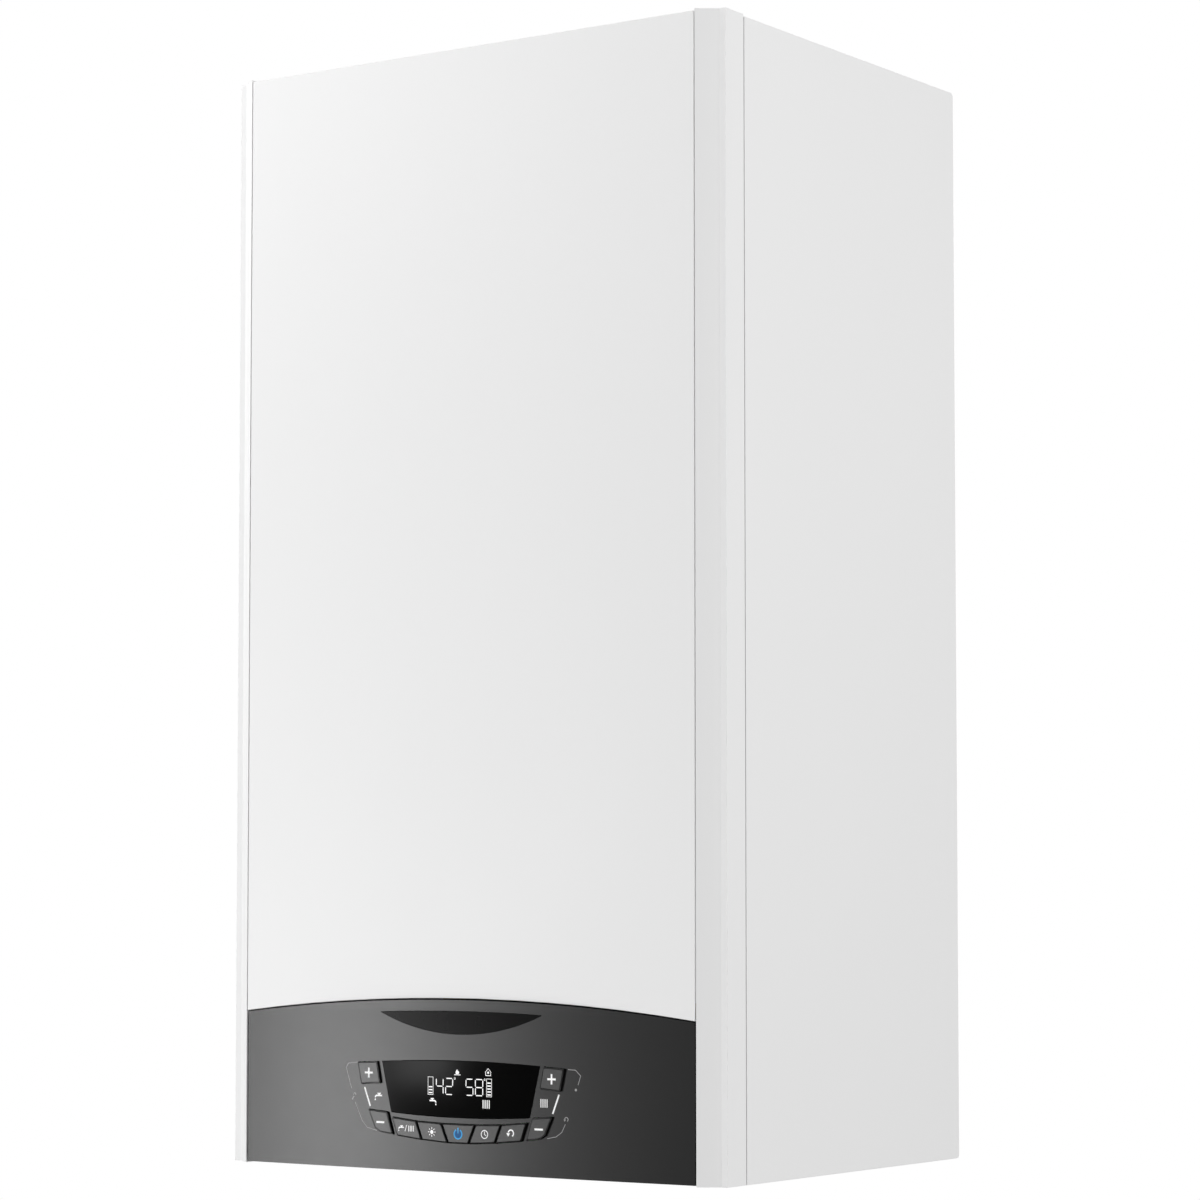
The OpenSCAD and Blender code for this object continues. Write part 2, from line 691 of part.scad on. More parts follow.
module burner_blades() {
    y0 = exchanger_y - firebox_d / 2 + tin_t + 6;
    y1 = exchanger_y + firebox_d / 2 - tin_t - 4;
    top = blade_z + blade_h;
    span = blade_count * blade_step;
    color("#a9a49b") at_mount() {
        for (i = [0:blade_count - 1]) translate([(i + 0.5) * blade_step - span / 2, 0, 0]) {
            block([-4.5, y0, blade_z + 14], [4.5, y1, top - 6]);
            block([-3, y0 + 4, top - 6], [3, y1 - 4, top]);
            difference() {
                rod_y(0, y0 - 6, y1, blade_z + 9, 6.5);
                rod_y(0, y0 - 6 - cut, y1 - 20, blade_z + 9, 5.5);
            }
        }
        // Rails that tie the blades together and rest on the combustion box
        for (y = [y0 + 6, y1 - 10]) difference() {
            block([-firebox_w / 2 + tin_t, y, blade_z + 20], [firebox_w / 2 - tin_t, y + 4, top - 8]);
            for (i = [0:blade_count - 1]) translate([(i + 0.5) * blade_step - span / 2, 0, 0])
                block([-4, y - cut, blade_z + 19], [4, y + 4 + cut, top - 7]);
        }
    }
}

module gas_manifold() {
    span = blade_count * blade_step;
    y1 = rail_y + rail_s / 2;
    color("#c9b26b") at_mount() difference() {
        union() {
            block([-span / 2 - 6, rail_y - rail_s / 2, rail_z - rail_s / 2],
                [span / 2 + 6, y1, rail_z + rail_s / 2]);
            for (i = [0:blade_count - 1]) translate([(i + 0.5) * blade_step - span / 2, 0, 0]) {
                rod_y(0, y1, y1 + 3.5, rail_z, 3);
            }
            both_sides() block([span / 2 - 10, rail_y - 2, rail_z + rail_s / 2],
                [span / 2 + 6, rail_y, firebox_z + 6]);
            both_sides() block([span / 2 - 10, rail_y - 2, firebox_z + 4],
                [span / 2 + 6, exchanger_y - firebox_d / 2, firebox_z + 6]);
        }
        rod_x(-span / 2, span / 2, rail_y, rail_z, rail_s / 2 - 2.5);
        rod_z(0, rail_y, rail_z - rail_s / 2 - cut, rail_z, pipe_r - pipe_t);
        for (i = [0:blade_count - 1]) translate([(i + 0.5) * blade_step - span / 2, 0, 0])
            rod_y(0, rail_y, y1 + 5, rail_z, 0.7);
    }
}

module electrodes() {
    y0 = exchanger_y - firebox_d / 2;
    z = firebox_z + 14;
    color("#ece7dd") at_mount() for (e = [-1:1]) {
        rod_y(e * 20, y0 - 22, y0 + tin_t + 8, z, 4);
        rod_y(e * 20, y0 - 2.5, y0, z, 6.5);
        rod_y(e * 20, y0 + tin_t + 4, y0 + 28, z, 1.2);
        rod_z(e * 20, y0 + 26.5, z - 0.2, z + 7, 1);
    }
}

module exchanger_fins() {
    step = fins_w / (fin_count - 1);
    y0 = exchanger_y - fins_d / 2;
    color("#c8794a") at_mount() {
        for (i = [0:fin_count - 1]) translate([i * step - fins_w / 2 - fin_t / 2, 0, 0])
            rotate([90, 0, 90]) linear_extrude(fin_t) difference() {
                translate([y0, fins_z + 2]) square([fins_d, fins_h - 4]);
                for (k = [0:tube_count - 1]) translate([exchanger_y + (k - 2) * tube_step, tube_z])
                    circle(tube_r + 0.05, $fn = 32);
            }
        // Shell of the fin block
        for (y = [y0 - tin_t, y0 + fins_d]) block([-fins_w / 2 - 2, y, fins_z],
            [fins_w / 2 + 2, y + tin_t, fins_z + fins_h]);
    }
}

module exchanger_tubes() {
    x = fins_w / 2 + 4;
    y = [for (k = [0:tube_count - 1]) exchanger_y + (k - 2) * tube_step];
    drop_z = tube_z - elbow_r - 24;
    color("#b96a3c") at_mount() difference() {
        exchanger_run(x, y, drop_z, tube_r);
        exchanger_run(x, y, drop_z, tube_r - pipe_t);
    }
}
// One continuous tube: up on the right, five passes through the fins, and down on the left
module exchanger_run(x, y, drop_z, r) {
    straight([tail_x[4], y[0], drop_z], [tail_x[4], y[0], tube_z - elbow_r], r);
    straight([tail_x[0], y[4], drop_z], [tail_x[0], y[4], tube_z - elbow_r], r);
    translate([tail_x[4] - elbow_r, y[0], tube_z - elbow_r]) rotate([90, 0, 0])
        rotate_extrude(angle = 90) translate([elbow_r, 0]) circle(r, $fn = 32);
    translate([tail_x[0] + elbow_r, y[4], tube_z - elbow_r]) rotate([90, 0, 0])
        rotate([0, 0, 90]) rotate_extrude(angle = 90) translate([elbow_r, 0]) circle(r, $fn = 32);
    rod_x(-x, tail_x[4] - elbow_r, y[0], tube_z, r);
    rod_x(tail_x[0] + elbow_r, x, y[4], tube_z, r);
    for (k = [1:3]) rod_x(-x, x, y[k], tube_z, r);
    for (k = [0, 2]) translate([-x, (y[k] + y[k + 1]) / 2, tube_z]) rotate([0, 0, 90])
        rotate_extrude(angle = 180) translate([tube_step / 2, 0]) circle(r, $fn = 32);
    for (k = [1, 3]) translate([x, (y[k] + y[k + 1]) / 2, tube_z]) rotate([0, 0, -90])
        rotate_extrude(angle = 180) translate([tube_step / 2, 0]) circle(r, $fn = 32);
}

// Gas collects under the hood and rises behind the fan to its eye
module flue_hood() {
    x = fins_w / 2 + 2;
    y0 = exchanger_y - fins_d / 2 - tin_t;
    y1 = exchanger_y + fins_d / 2 + tin_t;
    z0 = fins_z + fins_h;
    box_y1 = chamber_y - tin_t - 2;
    duct = scroll_r - 4;
    duct_top = fan_z + 50;
    color("#a3a9ab") at_mount() difference() {
        union() {
            slab(y0, y1) polygon([[-x, z0], [x, z0], [fan_x + duct, hood_z], [fan_x - duct, hood_z]]);
            block([fan_x - duct, fan_y1, hood_z - 6], [fan_x + duct, box_y1, duct_top]);
        }
        slab(y0 + tin_t, y1 - tin_t) polygon([[-x + tin_t, z0 - cut], [x - tin_t, z0 - cut],
            [x - tin_t, z0 + 1], [fan_x + duct - 2, hood_z - tin_t], [fan_x - duct + 2, hood_z - tin_t],
            [-x + tin_t, z0 + 1]]);
        block([fan_x - duct + tin_t, fan_y1 + tin_t, hood_z - 4],
            [fan_x + duct - tin_t, box_y1 - tin_t, duct_top - tin_t]);
        block([fan_x - duct + 4, fan_y1 + tin_t, hood_z - 8], [fan_x + duct - 4, y1 - tin_t, hood_z]);
        rod_y(fan_x, fan_y1 - cut, fan_y1 + tin_t + cut, fan_z, eye_r);
    }
}

module fan_housing() {
    color("#b1b6b8") at_mount() difference() {
        union() {
            rod_y(fan_x, fan_y0, fan_y1, fan_z, scroll_r);
            block([-outlet_w / 2, fan_y0, fan_z], [outlet_w / 2, fan_y1, outlet_z]);
        }
        rod_y(fan_x, fan_y0 + tin_t, fan_y1 - tin_t, fan_z, scroll_r - tin_t);
        block([-outlet_w / 2 + tin_t, fan_y0 + tin_t, fan_z],
            [outlet_w / 2 - tin_t, fan_y1 - tin_t, outlet_z + cut]);
        rod_y(fan_x, fan_y1 - 2 * tin_t, fan_y1 + cut, fan_z, eye_r);
        rod_y(fan_x, fan_y0 - cut, fan_y0 + 2 * tin_t, fan_z, shaft_r + 3);
    }
}

module fan_motor() {
    y1 = fan_y0;
    y0 = y1 - fan_motor_l;
    color("#3c4245") at_mount() difference() {
        union() {
            rod_y(fan_x, y1 - 2, y1, fan_z, fan_plate_r);
            rod_y(fan_x, y0, y1 - 2, fan_z, 14);
            // Stator stack and its coil
            block([fan_x - 32, y1 - 34, fan_z - 30], [fan_x + 32, y1 - 16, fan_z + 30]);
            block([fan_x - 20, y1 - 40, fan_z - 50], [fan_x + 20, y1 - 10, fan_z - 30]);
            for (s = [-1, 1]) rod_y(fan_x + s * 26, y1 - 16, y1 - 2, fan_z + 22, 3.5);
        }
        rod_y(fan_x, y0 - cut, y1 + cut, fan_z, shaft_r + running);
    }
}

module fan_impeller() {
    y0 = fan_y0 + tin_t + 3;
    y1 = fan_y1 - tin_t - 3;
    color("#cfd3d5") at_mount() {
        rod_y(fan_x, y0, y0 + 1.2, fan_z, fan_r);
        difference() {
            rod_y(fan_x, y1 - 1.2, y1, fan_z, fan_r);
            rod_y(fan_x, y1 - 1.2 - cut, y1 + cut, fan_z, fan_r - 12);
        }
        for (i = [0:fan_blades - 1]) translate([fan_x, 0, fan_z]) rotate([0, i * 360 / fan_blades, 0])
            translate([fan_r - 11, 0, 0]) rotate([0, 28, 0]) block([0, y0 + 0.6, -0.5], [11, y1 - 0.6, 0.5]);
        rod_y(fan_x, y0 + 0.6, y0 + 14, fan_z, 10);
        rod_y(fan_x, fan_y0 - fan_motor_l - 6, y0 + 10, fan_z, shaft_r);
    }
}

module flue_duct() {
    top = top_z + 2 + collar_h - socket_h;
    plate = outlet_w / 2 + 3;
    color("#bfc3c5") at_mount() difference() {
        union() {
            block([-plate, -flue_y - plate, outlet_z], [plate, -flue_y + plate, outlet_z + 2]);
            rod_z(0, -flue_y, outlet_z + 1, top, duct_r);
        }
        rod_z(0, -flue_y, outlet_z + 2, top + cut, duct_r - flue_t);
        intersection() {
            rod_z(0, -flue_y, outlet_z - cut, outlet_z + 2 + cut, duct_r - flue_t);
            block([-plate, fan_y0 + tin_t, outlet_z - cut], [plate, fan_y1 - tin_t, outlet_z + 2 + cut]);
        }
    }
}

module air_pressure_switch() {
    x = fan_x - scroll_r - 96;
    z = fan_z + 14;
    y = -flue_y - 40;
    hose_w = 8;
    color("#e9ebec") at_mount() {
        rod_y(x, y - 22, y, z, 29);
        rod_y(x, y - 30, y - 22, z, 16);
        block([x - hose_w, y, z + 14], [x + hose_w, chamber_y - tin_t, z + 16]);
        block([x - hose_w, y, z - hose_w], [x + hose_w, y + 2, z + 16]);
        // Hoses to the outlet of the fan
        for (s = [-1, 1]) run([[x - s * 7, y - 26, z + 8], [x - s * 7, y - 26, hose_z + s * 6],
            [-outlet_w / 2 - 20, y - 26, hose_z + s * 6], [-outlet_w / 2 - 20, -flue_y, hose_z + s * 6],
            [-outlet_w / 2, -flue_y, hose_z + s * 6]], 3, 8);
    }
}

// Water group

module vessel_profile(r, d, t) {
    shoulder = 22;
    difference() {
        union() {
            translate([0, t]) square([r - shoulder, d - 2 * t]);
            translate([0, shoulder]) square([r - t, d - 2 * shoulder]);
            for (y = [shoulder, d - shoulder]) translate([r - shoulder, y]) circle(shoulder - t);
        }
        translate([-r, -cut]) square([r, d + 2 * cut]);
    }
}

module expansion_vessel() {
    color("#b8302a") at_mount() difference() {
        union() {
            translate([0, frame_y, vessel_z]) rotate([90, 0, 0]) rotate_extrude()
                vessel_profile(vessel_r, vessel_d, 0);
            rod_y(0, frame_y - vessel_d / 2 - 2, frame_y - vessel_d / 2 + 2, vessel_z, vessel_r + 4);
            rod_z(0, frame_y - vessel_d / 2, vessel_port_z, vessel_z - vessel_r + 6, 9);
        }
        translate([0, frame_y, vessel_z]) rotate([90, 0, 0]) rotate_extrude()
            vessel_profile(vessel_r, vessel_d, vessel_t);
        rod_z(0, frame_y - vessel_d / 2, vessel_port_z - cut, vessel_z - vessel_r + 12, 5);
    }
}

module water_pipes() {
    drop_z = tube_z - elbow_r - 24;
    flow_y = -tail_y;
    return_y = exchanger_y - 2 * tube_step;
    lift = chamber_z - elbow_r - 2;
    link_y = frame_y - vessel_d / 2;
    link_top = vessel_port_z - 40;
    color("#b96a3c") at_mount() {
        pipe([[tail_x[0], flow_y, valve_top], [tail_x[0], flow_y, drop_z]], pipe_r, pipe_t, elbow_r);
        pipe([[tail_x[4], -tail_y, pump_out_z], [tail_x[4], -tail_y, lift], [tail_x[4], return_y, lift],
            [tail_x[4], return_y, drop_z]], pipe_r, pipe_t, elbow_r);
        pipe([[0, link_y, vessel_port_z], [0, link_y, link_top], [pump_x, link_y, link_top],
            [pump_x, link_y, volute_z], [pump_x, volute_y1 + 6, volute_z]], 6, pipe_t, 15);
    }
}

// A connection with its thread, nut and neck, which runs up to z1
module tail(x, thread_r, z1, neck_r) {
    rod_z(x, -tail_y, tail_z, tail_z + thread_l, thread_r);
    translate([x, -tail_y, tail_z + thread_l]) cylinder(h = 9, r = thread_r + 3.6, $fn = 6);
    rod_z(x, -tail_y, tail_z + thread_l + 9, z1, neck_r);
    rod_z(x, -tail_y, skirt_h + sheet_t, skirt_h + sheet_t + 3, neck_r + 5);
}
module tail_bore(x, z1) { rod_z(x, -tail_y, tail_z - cut, z1, tail_bore_r); }

module diverter_valve() {
    y = -tail_y;
    color("#c9b26b") at_mount() difference() {
        union() {
            tail(tail_x[0], thread_34_r, valve_z, neck_r);
            tail(tail_x[1], thread_34_r, valve_z, neck_r);
            rod_x(tail_x[0] - 14, tail_x[1] + 14, y, valve_z, 17);
            rod_z(tail_x[0], y, valve_z, valve_top, neck_r);
            rod_z(diverter_x, y, valve_z - 22, valve_z + 24, 20);
        }
        tail_bore(tail_x[0], valve_top + cut);
        tail_bore(tail_x[1], valve_z);
        rod_x(tail_x[0], tail_x[1], y, valve_z, tail_bore_r);
        rod_z(diverter_x, y, valve_z - 18, valve_z + 18, 14);
        rod_z(diverter_x, y, valve_z, valve_z + 24 + cut, 3 + running);
    }
}

module diverter_spindle() {
    y = -tail_y;
    color("#8d9396") at_mount() {
        rod_z(diverter_x, y, valve_z - 3, valve_z + 3, 12.5);
        rod_z(diverter_x, y, valve_z - 3, valve_z + 34, 3);
        rod_z(diverter_x, y, valve_z + 34, valve_z + 38, 6);
    }
}

module diverter_motor() {
    y = -tail_y;
    z0 = valve_z + 24;
    x = tail_pitch / 2 - neck_r - 1.5;
    color("#e4e6e7") at_mount() difference() {
        union() {
            block([diverter_x - x, y - 24, z0], [diverter_x + x, y + 24, z0 + 62]);
            rod_z(diverter_x, y, z0 + 62, z0 + 70, 17);
            block([diverter_x - 8, y - 34, z0 + 20], [diverter_x + 8, y - 24, z0 + 34]);
        }
        rod_z(diverter_x, y, z0 - cut, z0 + 24 + diverter_travel, 8);
    }
}

module pump_housing() {
    x = pump_x;
    color("#c9b26b") at_mount() difference() {
        union() {
            tail(tail_x[4], thread_34_r, link_z + neck_r, neck_r);
            tail(tail_x[3], thread_12_r, link_z + 10, 9);
            rod_x(tail_x[3], tail_x[4], -tail_y, link_z, 10);
            rod_z(x, -tail_y, link_z, volute_z - volute_r + 6, neck_r);
            rod_y(x, volute_y0, volute_y1, volute_z, volute_r);
            rod_y(x, volute_y1, volute_y1 + 6, volute_z, 12);
            rod_z(tail_x[4], -tail_y, volute_z, pump_out_z, neck_r);
            rod_z(vent_x, -tail_y, volute_z, vent_z, 9);
        }
        tail_bore(tail_x[4], link_z);
        tail_bore(tail_x[3], link_z);
        rod_x(tail_x[3], tail_x[4], -tail_y, link_z, 7);
        rod_z(x, -tail_y, link_z, volute_z - volute_r + 10, tail_bore_r);
        rod_y(x, volute_y0 - cut, volute_y1 - 5, volute_z, volute_r - 5);
        rod_y(x, volute_y1 - 6, volute_y1 + 6 + cut, volute_z, 5);
        rod_z(tail_x[4], -tail_y, volute_z, pump_out_z + cut, tail_bore_r);
        rod_z(vent_x, -tail_y, volute_z, vent_z + cut, 4);
    }
}

module pump_motor() {
    x = pump_x;
    y1 = volute_y0;
    y0 = y1 - pump_motor_l;
    color("#2f3437") at_mount() difference() {
        union() {
            rod_y(x, y1 - 5, y1, volute_z, volute_r);
            rod_y(x, y0, y1 - 5, volute_z, pump_motor_r);
            rod_y(x, y0 - 4, y0, volute_z, 10);
            block([x - 26, y0 + 10, volute_z + pump_motor_r - 8],
                [x + 26, y1 - 12, volute_z + pump_motor_r + 16]);
        }
        rod_y(x, y0 + 8, y1 + cut, volute_z, pump_shaft_r + running);
    }
}

module pump_impeller() {
    x = pump_x;
    y0 = volute_y0 + 3;
    color("#3f4a50") at_mount() {
        rod_y(x, y0, y0 + 2, volute_z, pump_rotor_r);
        for (a = [0:60:300]) translate([x, 0, volute_z]) rotate([0, a, 0]) translate([8, 0, 0])
            rotate([0, 32, 0]) block([0, y0 + 2, -1], [pump_rotor_r - 12, y0 + 16, 1]);
        rod_y(x, y0 + 2, y0 + 16, volute_z, 10);
        rod_y(x, volute_y0 - pump_motor_l + 10, y0 + 3, volute_z, pump_shaft_r);
    }
}

module air_vent() {
    x = vent_x;
    z = vent_z;
    color("#d9dbdc") at_mount() {
        rod_z(x, -tail_y, z, z + 6, 9);
        rod_z(x, -tail_y, z + 6, z + 42, 15);
        rod_z(x, -tail_y, z + 42, z + 46, 8);
        rod_z(x, -tail_y, z + 46, z + 54, 5);
    }
}

module safety_valve() {
    x = tail_x[3];
    z0 = link_z + 10;
    bend = 12;
    route = [[x, -tail_y - 8, z0 + 16], [x, drain_y, z0 + 16], [x, drain_y, tail_z]];
    color("#c2ab63") at_mount() difference() {
        union() {
            rod_z(x, -tail_y, z0, z0 + 32, 12);
            rod_z(x, -tail_y, z0 + 32, z0 + 36, 9);
            rod_z(x, -tail_y, z0 + 36, z0 + 48, knob_stem_r);
            run(route, drain_r - running * 4, bend);
            // Spigot below the bottom panel
            rod_z(x, drain_y, tail_z, drain_top, drain_r);
        }
        run(route, drain_r - 1.2, bend);
        rod_z(x, -tail_y, z0 - cut, z0 + 24, 6);
        rod_z(x, drain_y, tail_z - cut, tail_z + 2, drain_r - 1.2);
    }
}

module safety_knob() {
    z0 = link_z + 46;
    color("#c8231e") at_mount() difference() {
        union() {
            rod_z(tail_x[3], -tail_y, z0, z0 + 18, 13);
            for (a = [0:45:315]) translate([tail_x[3], -tail_y, 0]) rotate([0, 0, a])
                rod_z(12.4, 0, z0, z0 + 16, 2.4);
        }
        rod_z(tail_x[3], -tail_y, z0 - cut, z0 + 14, knob_stem_r + running);
        rod_z(tail_x[3], -tail_y, z0 + 16, z0 + 18 + cut, 6);
    }
}

module gas_valve() {
    z0 = gas_valve_z;
    z1 = z0 + gas_valve_h;
    color("#a9adb0") at_mount() difference() {
        union() {
            tail(0, thread_34_r, z0 - 14, neck_r);
            rod_z(0, -tail_y, z0 - 14, z0, 16);
            block([-30, -tail_y - 34, z0], [30, -tail_y + 28, z1]);
            rod_z(0, -tail_y, z1, z1 + 10, 15);
            // Two solenoid coils and the regulator cap
            for (z = [z0 + 18, z0 + 50]) rod_y(-12, -tail_y - 66, -tail_y - 34, z, 13);
            rod_y(20, -tail_y - 46, -tail_y - 34, z0 + 34, 8);
            for (z = [z0 + 16, z0 + 52]) rod_y(20, -tail_y - 42, -tail_y - 34, z, 3.5);
        }
        rod_z(0, -tail_y, tail_z - cut, z0 + 20, tail_bore_r);
        rod_z(0, -tail_y, z1 - 20, z1 + 10 + cut, tail_bore_r);
    }
}

module gas_pipes() {
    z0 = gas_valve_z + gas_valve_h + 10;
    cross_z = z0 + 40;
    color("#c58a4f") at_mount()
        pipe([[0, -tail_y, z0], [0, -tail_y, cross_z], [0, rail_y, cross_z],
            [0, rail_y, rail_z - rail_s / 2]], pipe_r, pipe_t, 22);
}

module gauge_body() {
    z0 = skirt_h - 7;
    color("#1f2224") at_mount() translate([gauge_x, gauge_y, 0]) {
        difference() {
            union() {
                rod_z(0, 0, skirt_h - 3, skirt_h + 18, gauge_r - clear);
                rod_z(0, 0, z0, skirt_h, gauge_r + 3);
                rod_z(0, 0, skirt_h + 18, skirt_h + 26, 5);
            }
            rod_z(0, 0, z0 - cut, z0 + 4, gauge_r - 1);
        }
        rod_z(0, 0, z0 + 1, z0 + 5, 1.2);
    }
}

module gauge_needle() {
    z0 = skirt_h - 3 - 1.4 - clear;
    color("#d8dadb") at_mount() translate([gauge_x, gauge_y, z0]) difference() {
        union() {
            cylinder(h = 1.4, r = 3);
            linear_extrude(0.8) polygon([[-1.4, -6], [1.4, -6], [0.4, gauge_r - 4.5], [-0.4, gauge_r - 4.5]]);
        }
        translate([0, 0, -cut]) cylinder(h = 3 + cut, r = 1.2 + running);
    }
}

module cable_grommets() {
    color("#202223") at_mount() for (x = grommet_x) difference() {
        union() {
            rod_z(x, grommet_y, skirt_h - 3, skirt_h, grommet_r + 6);
            rod_z(x, grommet_y, skirt_h, skirt_h + sheet_t, grommet_r + 3);
            rod_z(x, grommet_y, skirt_h + sheet_t, skirt_h + sheet_t + 4, grommet_r + 5);
        }
        rod_z(x, grommet_y, skirt_h - 3 - cut, skirt_h + sheet_t + 4 + cut, grommet_r);
    }
}

// Tilting control box

module hinge_brackets() {
    x = hinge_plate_x;
    color("#b9bdbf") at_mount() both_sides() difference() {
        union() {
            block([x, hinge_y - 12, tray_z], [x + 2, hinge_y + 18, hinge_z + 22]);
            block([x, hinge_y + 16, tray_z], [inner_x, hinge_y + 18, hinge_z + 22]);
        }
        rod_x(x - cut, x + 2 + cut, hinge_y, hinge_z, hinge_r + running);
    }
}

module fascia_outline(inset) {
    x = arch_x - inset;
    intersection() {
        translate([-x, fascia_z + inset]) square([2 * x, fascia_h + fascia_rise]);
        translate([0, arch_z]) circle(arch_r - inset, $fn = 800);
    }
}
// Everything behind the bowed front of the fascia, set back by inset
module behind_front(inset) {
    translate([0, fascia_r - case_d, -cut]) cylinder(h = case_h, r = fascia_r - inset, $fn = 800);
}
// Everything below the band that slopes the upper edge back, set back by inset
module below_band(inset) {
    h = fascia_proud + fascia_rim + 1;
    r = arch_r - band_h - inset * norm([band_d, band_h]) / band_d;
    translate([0, -case_d, arch_z]) rotate([-90, 0, 0])
        cylinder(h = h, r1 = r, r2 = r + h * band_h / band_d, $fn = 800);
}
module window_outline(inset) {
    top_r = window_top_w * window_top_w / 8 / window_bow;
    low_r = window_low_w * window_low_w / 8 / window_bow;
    intersection() {
        polygon(grown([[-window_low_w / 2, window_z - window_bow], [window_low_w / 2, window_z - window_bow],
            [window_top_w / 2, window_z + window_h + window_bow],
            [-window_top_w / 2, window_z + window_h + window_bow]], -inset));
        translate([0, window_z + window_h + window_bow - top_r]) circle(top_r - inset, $fn = 800);
        translate([0, window_z - window_bow + low_r]) circle(low_r - inset, $fn = 800);
    }
}
module badge_outline(inset) {
    r = badge_w * badge_w / 8 / (badge_h - 1.6) + badge_h / 2;
    z = fascia_h + fascia_rise - badge_drop;
    intersection() {
        translate([0, arch_z]) circle(arch_r - badge_drop - inset, $fn = 800);
        translate([0, z - badge_h + r]) circle(r - inset, $fn = 800);
        translate([-badge_w / 2 + inset, 0]) square([badge_w - 2 * inset, case_h]);
    }
}

module fascia() {
    front = -case_d - cut;
    color("#55595a") at_mount() difference() {
        intersection() {
            slab(front, tray_front_y) fascia_outline(0);
            behind_front(0);
            below_band(0);
        }
        intersection() {
            slab(front, tray_front_y + cut) fascia_outline(fascia_t);
            behind_front(fascia_t);
            below_band(fascia_t);
        }
        for (k = KEYS) slab(front, tray_front_y) polygon(grown(k, key_gap));
        slab(front, window_y) window_outline(-0.15);
        slab(front, tray_front_y) window_outline(3);
        slab(front, badge_y) badge_outline(-0.15);
    }
}

module display_window() {
    color("#08090a") at_mount() slab(window_face, window_y) window_outline(0);
}

module badge_plate() {
    color("#101213") at_mount() slab(badge_face, badge_y) badge_outline(0);
}

module control_tray() {
    x = tray_w / 2;
    y0 = tray_front_y;
    color("#3a3e40") at_mount() difference() {
        union() {
            block([-x, y0, tray_z], [x, tray_rear_y, tray_z + tray_h]);
            both_sides() rod_x(x, hinge_plate_x + 6, hinge_y, hinge_z, hinge_r);
            both_sides() rod_x(x, hinge_plate_x - clear, hinge_y, hinge_z, hinge_r + 2);
            // Tongues that hold the fascia's rim
            both_sides() block([x, y0, tray_z + 20], [arch_x - clear, y0 + 2, tray_z + 60]);
        }
        block([-x + tray_t, y0 + tray_t, tray_z + tray_t],
            [x - tray_t, tray_rear_y + cut, tray_z + tray_h - tray_t]);
        block([-90, y0 - cut, tray_z + 12], [90, y0 + tray_t + cut, tray_z + 68]);
    }
}

module control_lid() {
    x = tray_w / 2;
    z1 = tray_z + tray_h;
    slot_step = 18;
    color("#55595b") at_mount() difference() {
        union() {
            block([-x, tray_rear_y, tray_z + 9 + hinge_r], [x, tray_rear_y + lid_t, z1]);
            block([-x + tray_t + clear, tray_rear_y - 4, z1 - tray_t - 4],
                [x - tray_t - clear, tray_rear_y, z1 - tray_t - clear]);
        }
        for (i = [-6:6]) block([i * slot_step - 3, tray_rear_y - cut, z1 - 40],
            [i * slot_step + 3, tray_rear_y + lid_t + cut, z1 - 16]);
    }
}

module circuit_boards() {
    x = tray_w / 2 - tray_t - 8;
    y = tray_front_y + tray_t + 9;
    top = tray_z + tray_h - tray_t - 6;
    base = tray_z + tray_t + 6;
    color("#2f6b45") at_mount() {
        // Main board on its pillars, with transformer, relays, capacitors and terminals
        block([-x, y, base], [x, y + board_t, top]);
        for (px = [-x + 8, x - 8], z = [base + 6, top - 6]) rod_y(px, tray_front_y + tray_t, y, z, 3);
        translate([0, y + board_t, 0]) {
            block([-x + 14, 0, base + 26], [-x + 54, 26, top - 12]);
            for (i = [0:3]) block([i * 24 - 40, 0, top - 26], [i * 24 - 24, 15, top - 6]);
            for (i = [0:2]) rod_y(70 + i * 24, 0, 24, base + 50, 8);
            for (i = [0:6]) block([i * 22 - 60, 0, base + 2], [i * 22 - 44, 12, base + 14]);
        }
        // Display board with the display behind the window and a switch behind each key
        block([-98, switch_y, tray_z + 10], [98, tray_front_y, tray_z + 72]);
        slab(window_y + clear + 1, switch_y) window_outline(4);
        for (k = KEYS) let (m = middle(k))
            block([m[0] - 3, switch_y - switch_h, m[1] - 3], [m[0] + 3, switch_y, m[1] + 3]);
    }
}

// A key with its retaining collar and the stem that works the switch
module key(points) {
    m = middle(points);
    face_y = -case_d + sag(m[0]) - key_proud;
    collar_y = -case_d + fascia_t + sag(abs(m[0]) + 4) + clear;
    back_y = collar_y + 1.2;
    color("#515556") at_mount() {
        slab(face_y, back_y) polygon(points);
        block([m[0] - 4, collar_y, m[1] - 7.6], [m[0] + 4, back_y, m[1] + 7.6]);
        rod_y(m[0], back_y - 1, switch_y - switch_h - key_travel - 0.1, m[1], key_stem_r);
    }
}
module key_water_plus() { key(flip(plus_key)); }
module key_water_minus() { key(flip(minus_key)); }
module key_heating_plus() { key(plus_key); }
module key_heating_minus() { key(minus_key); }
module key_mode() { key(flip(reset_key)); }
module key_comfort() { key(flip(auto_key)); }
module key_power() { key(power_key); }
module key_auto() { key(auto_key); }
module key_reset() { key(reset_key); }

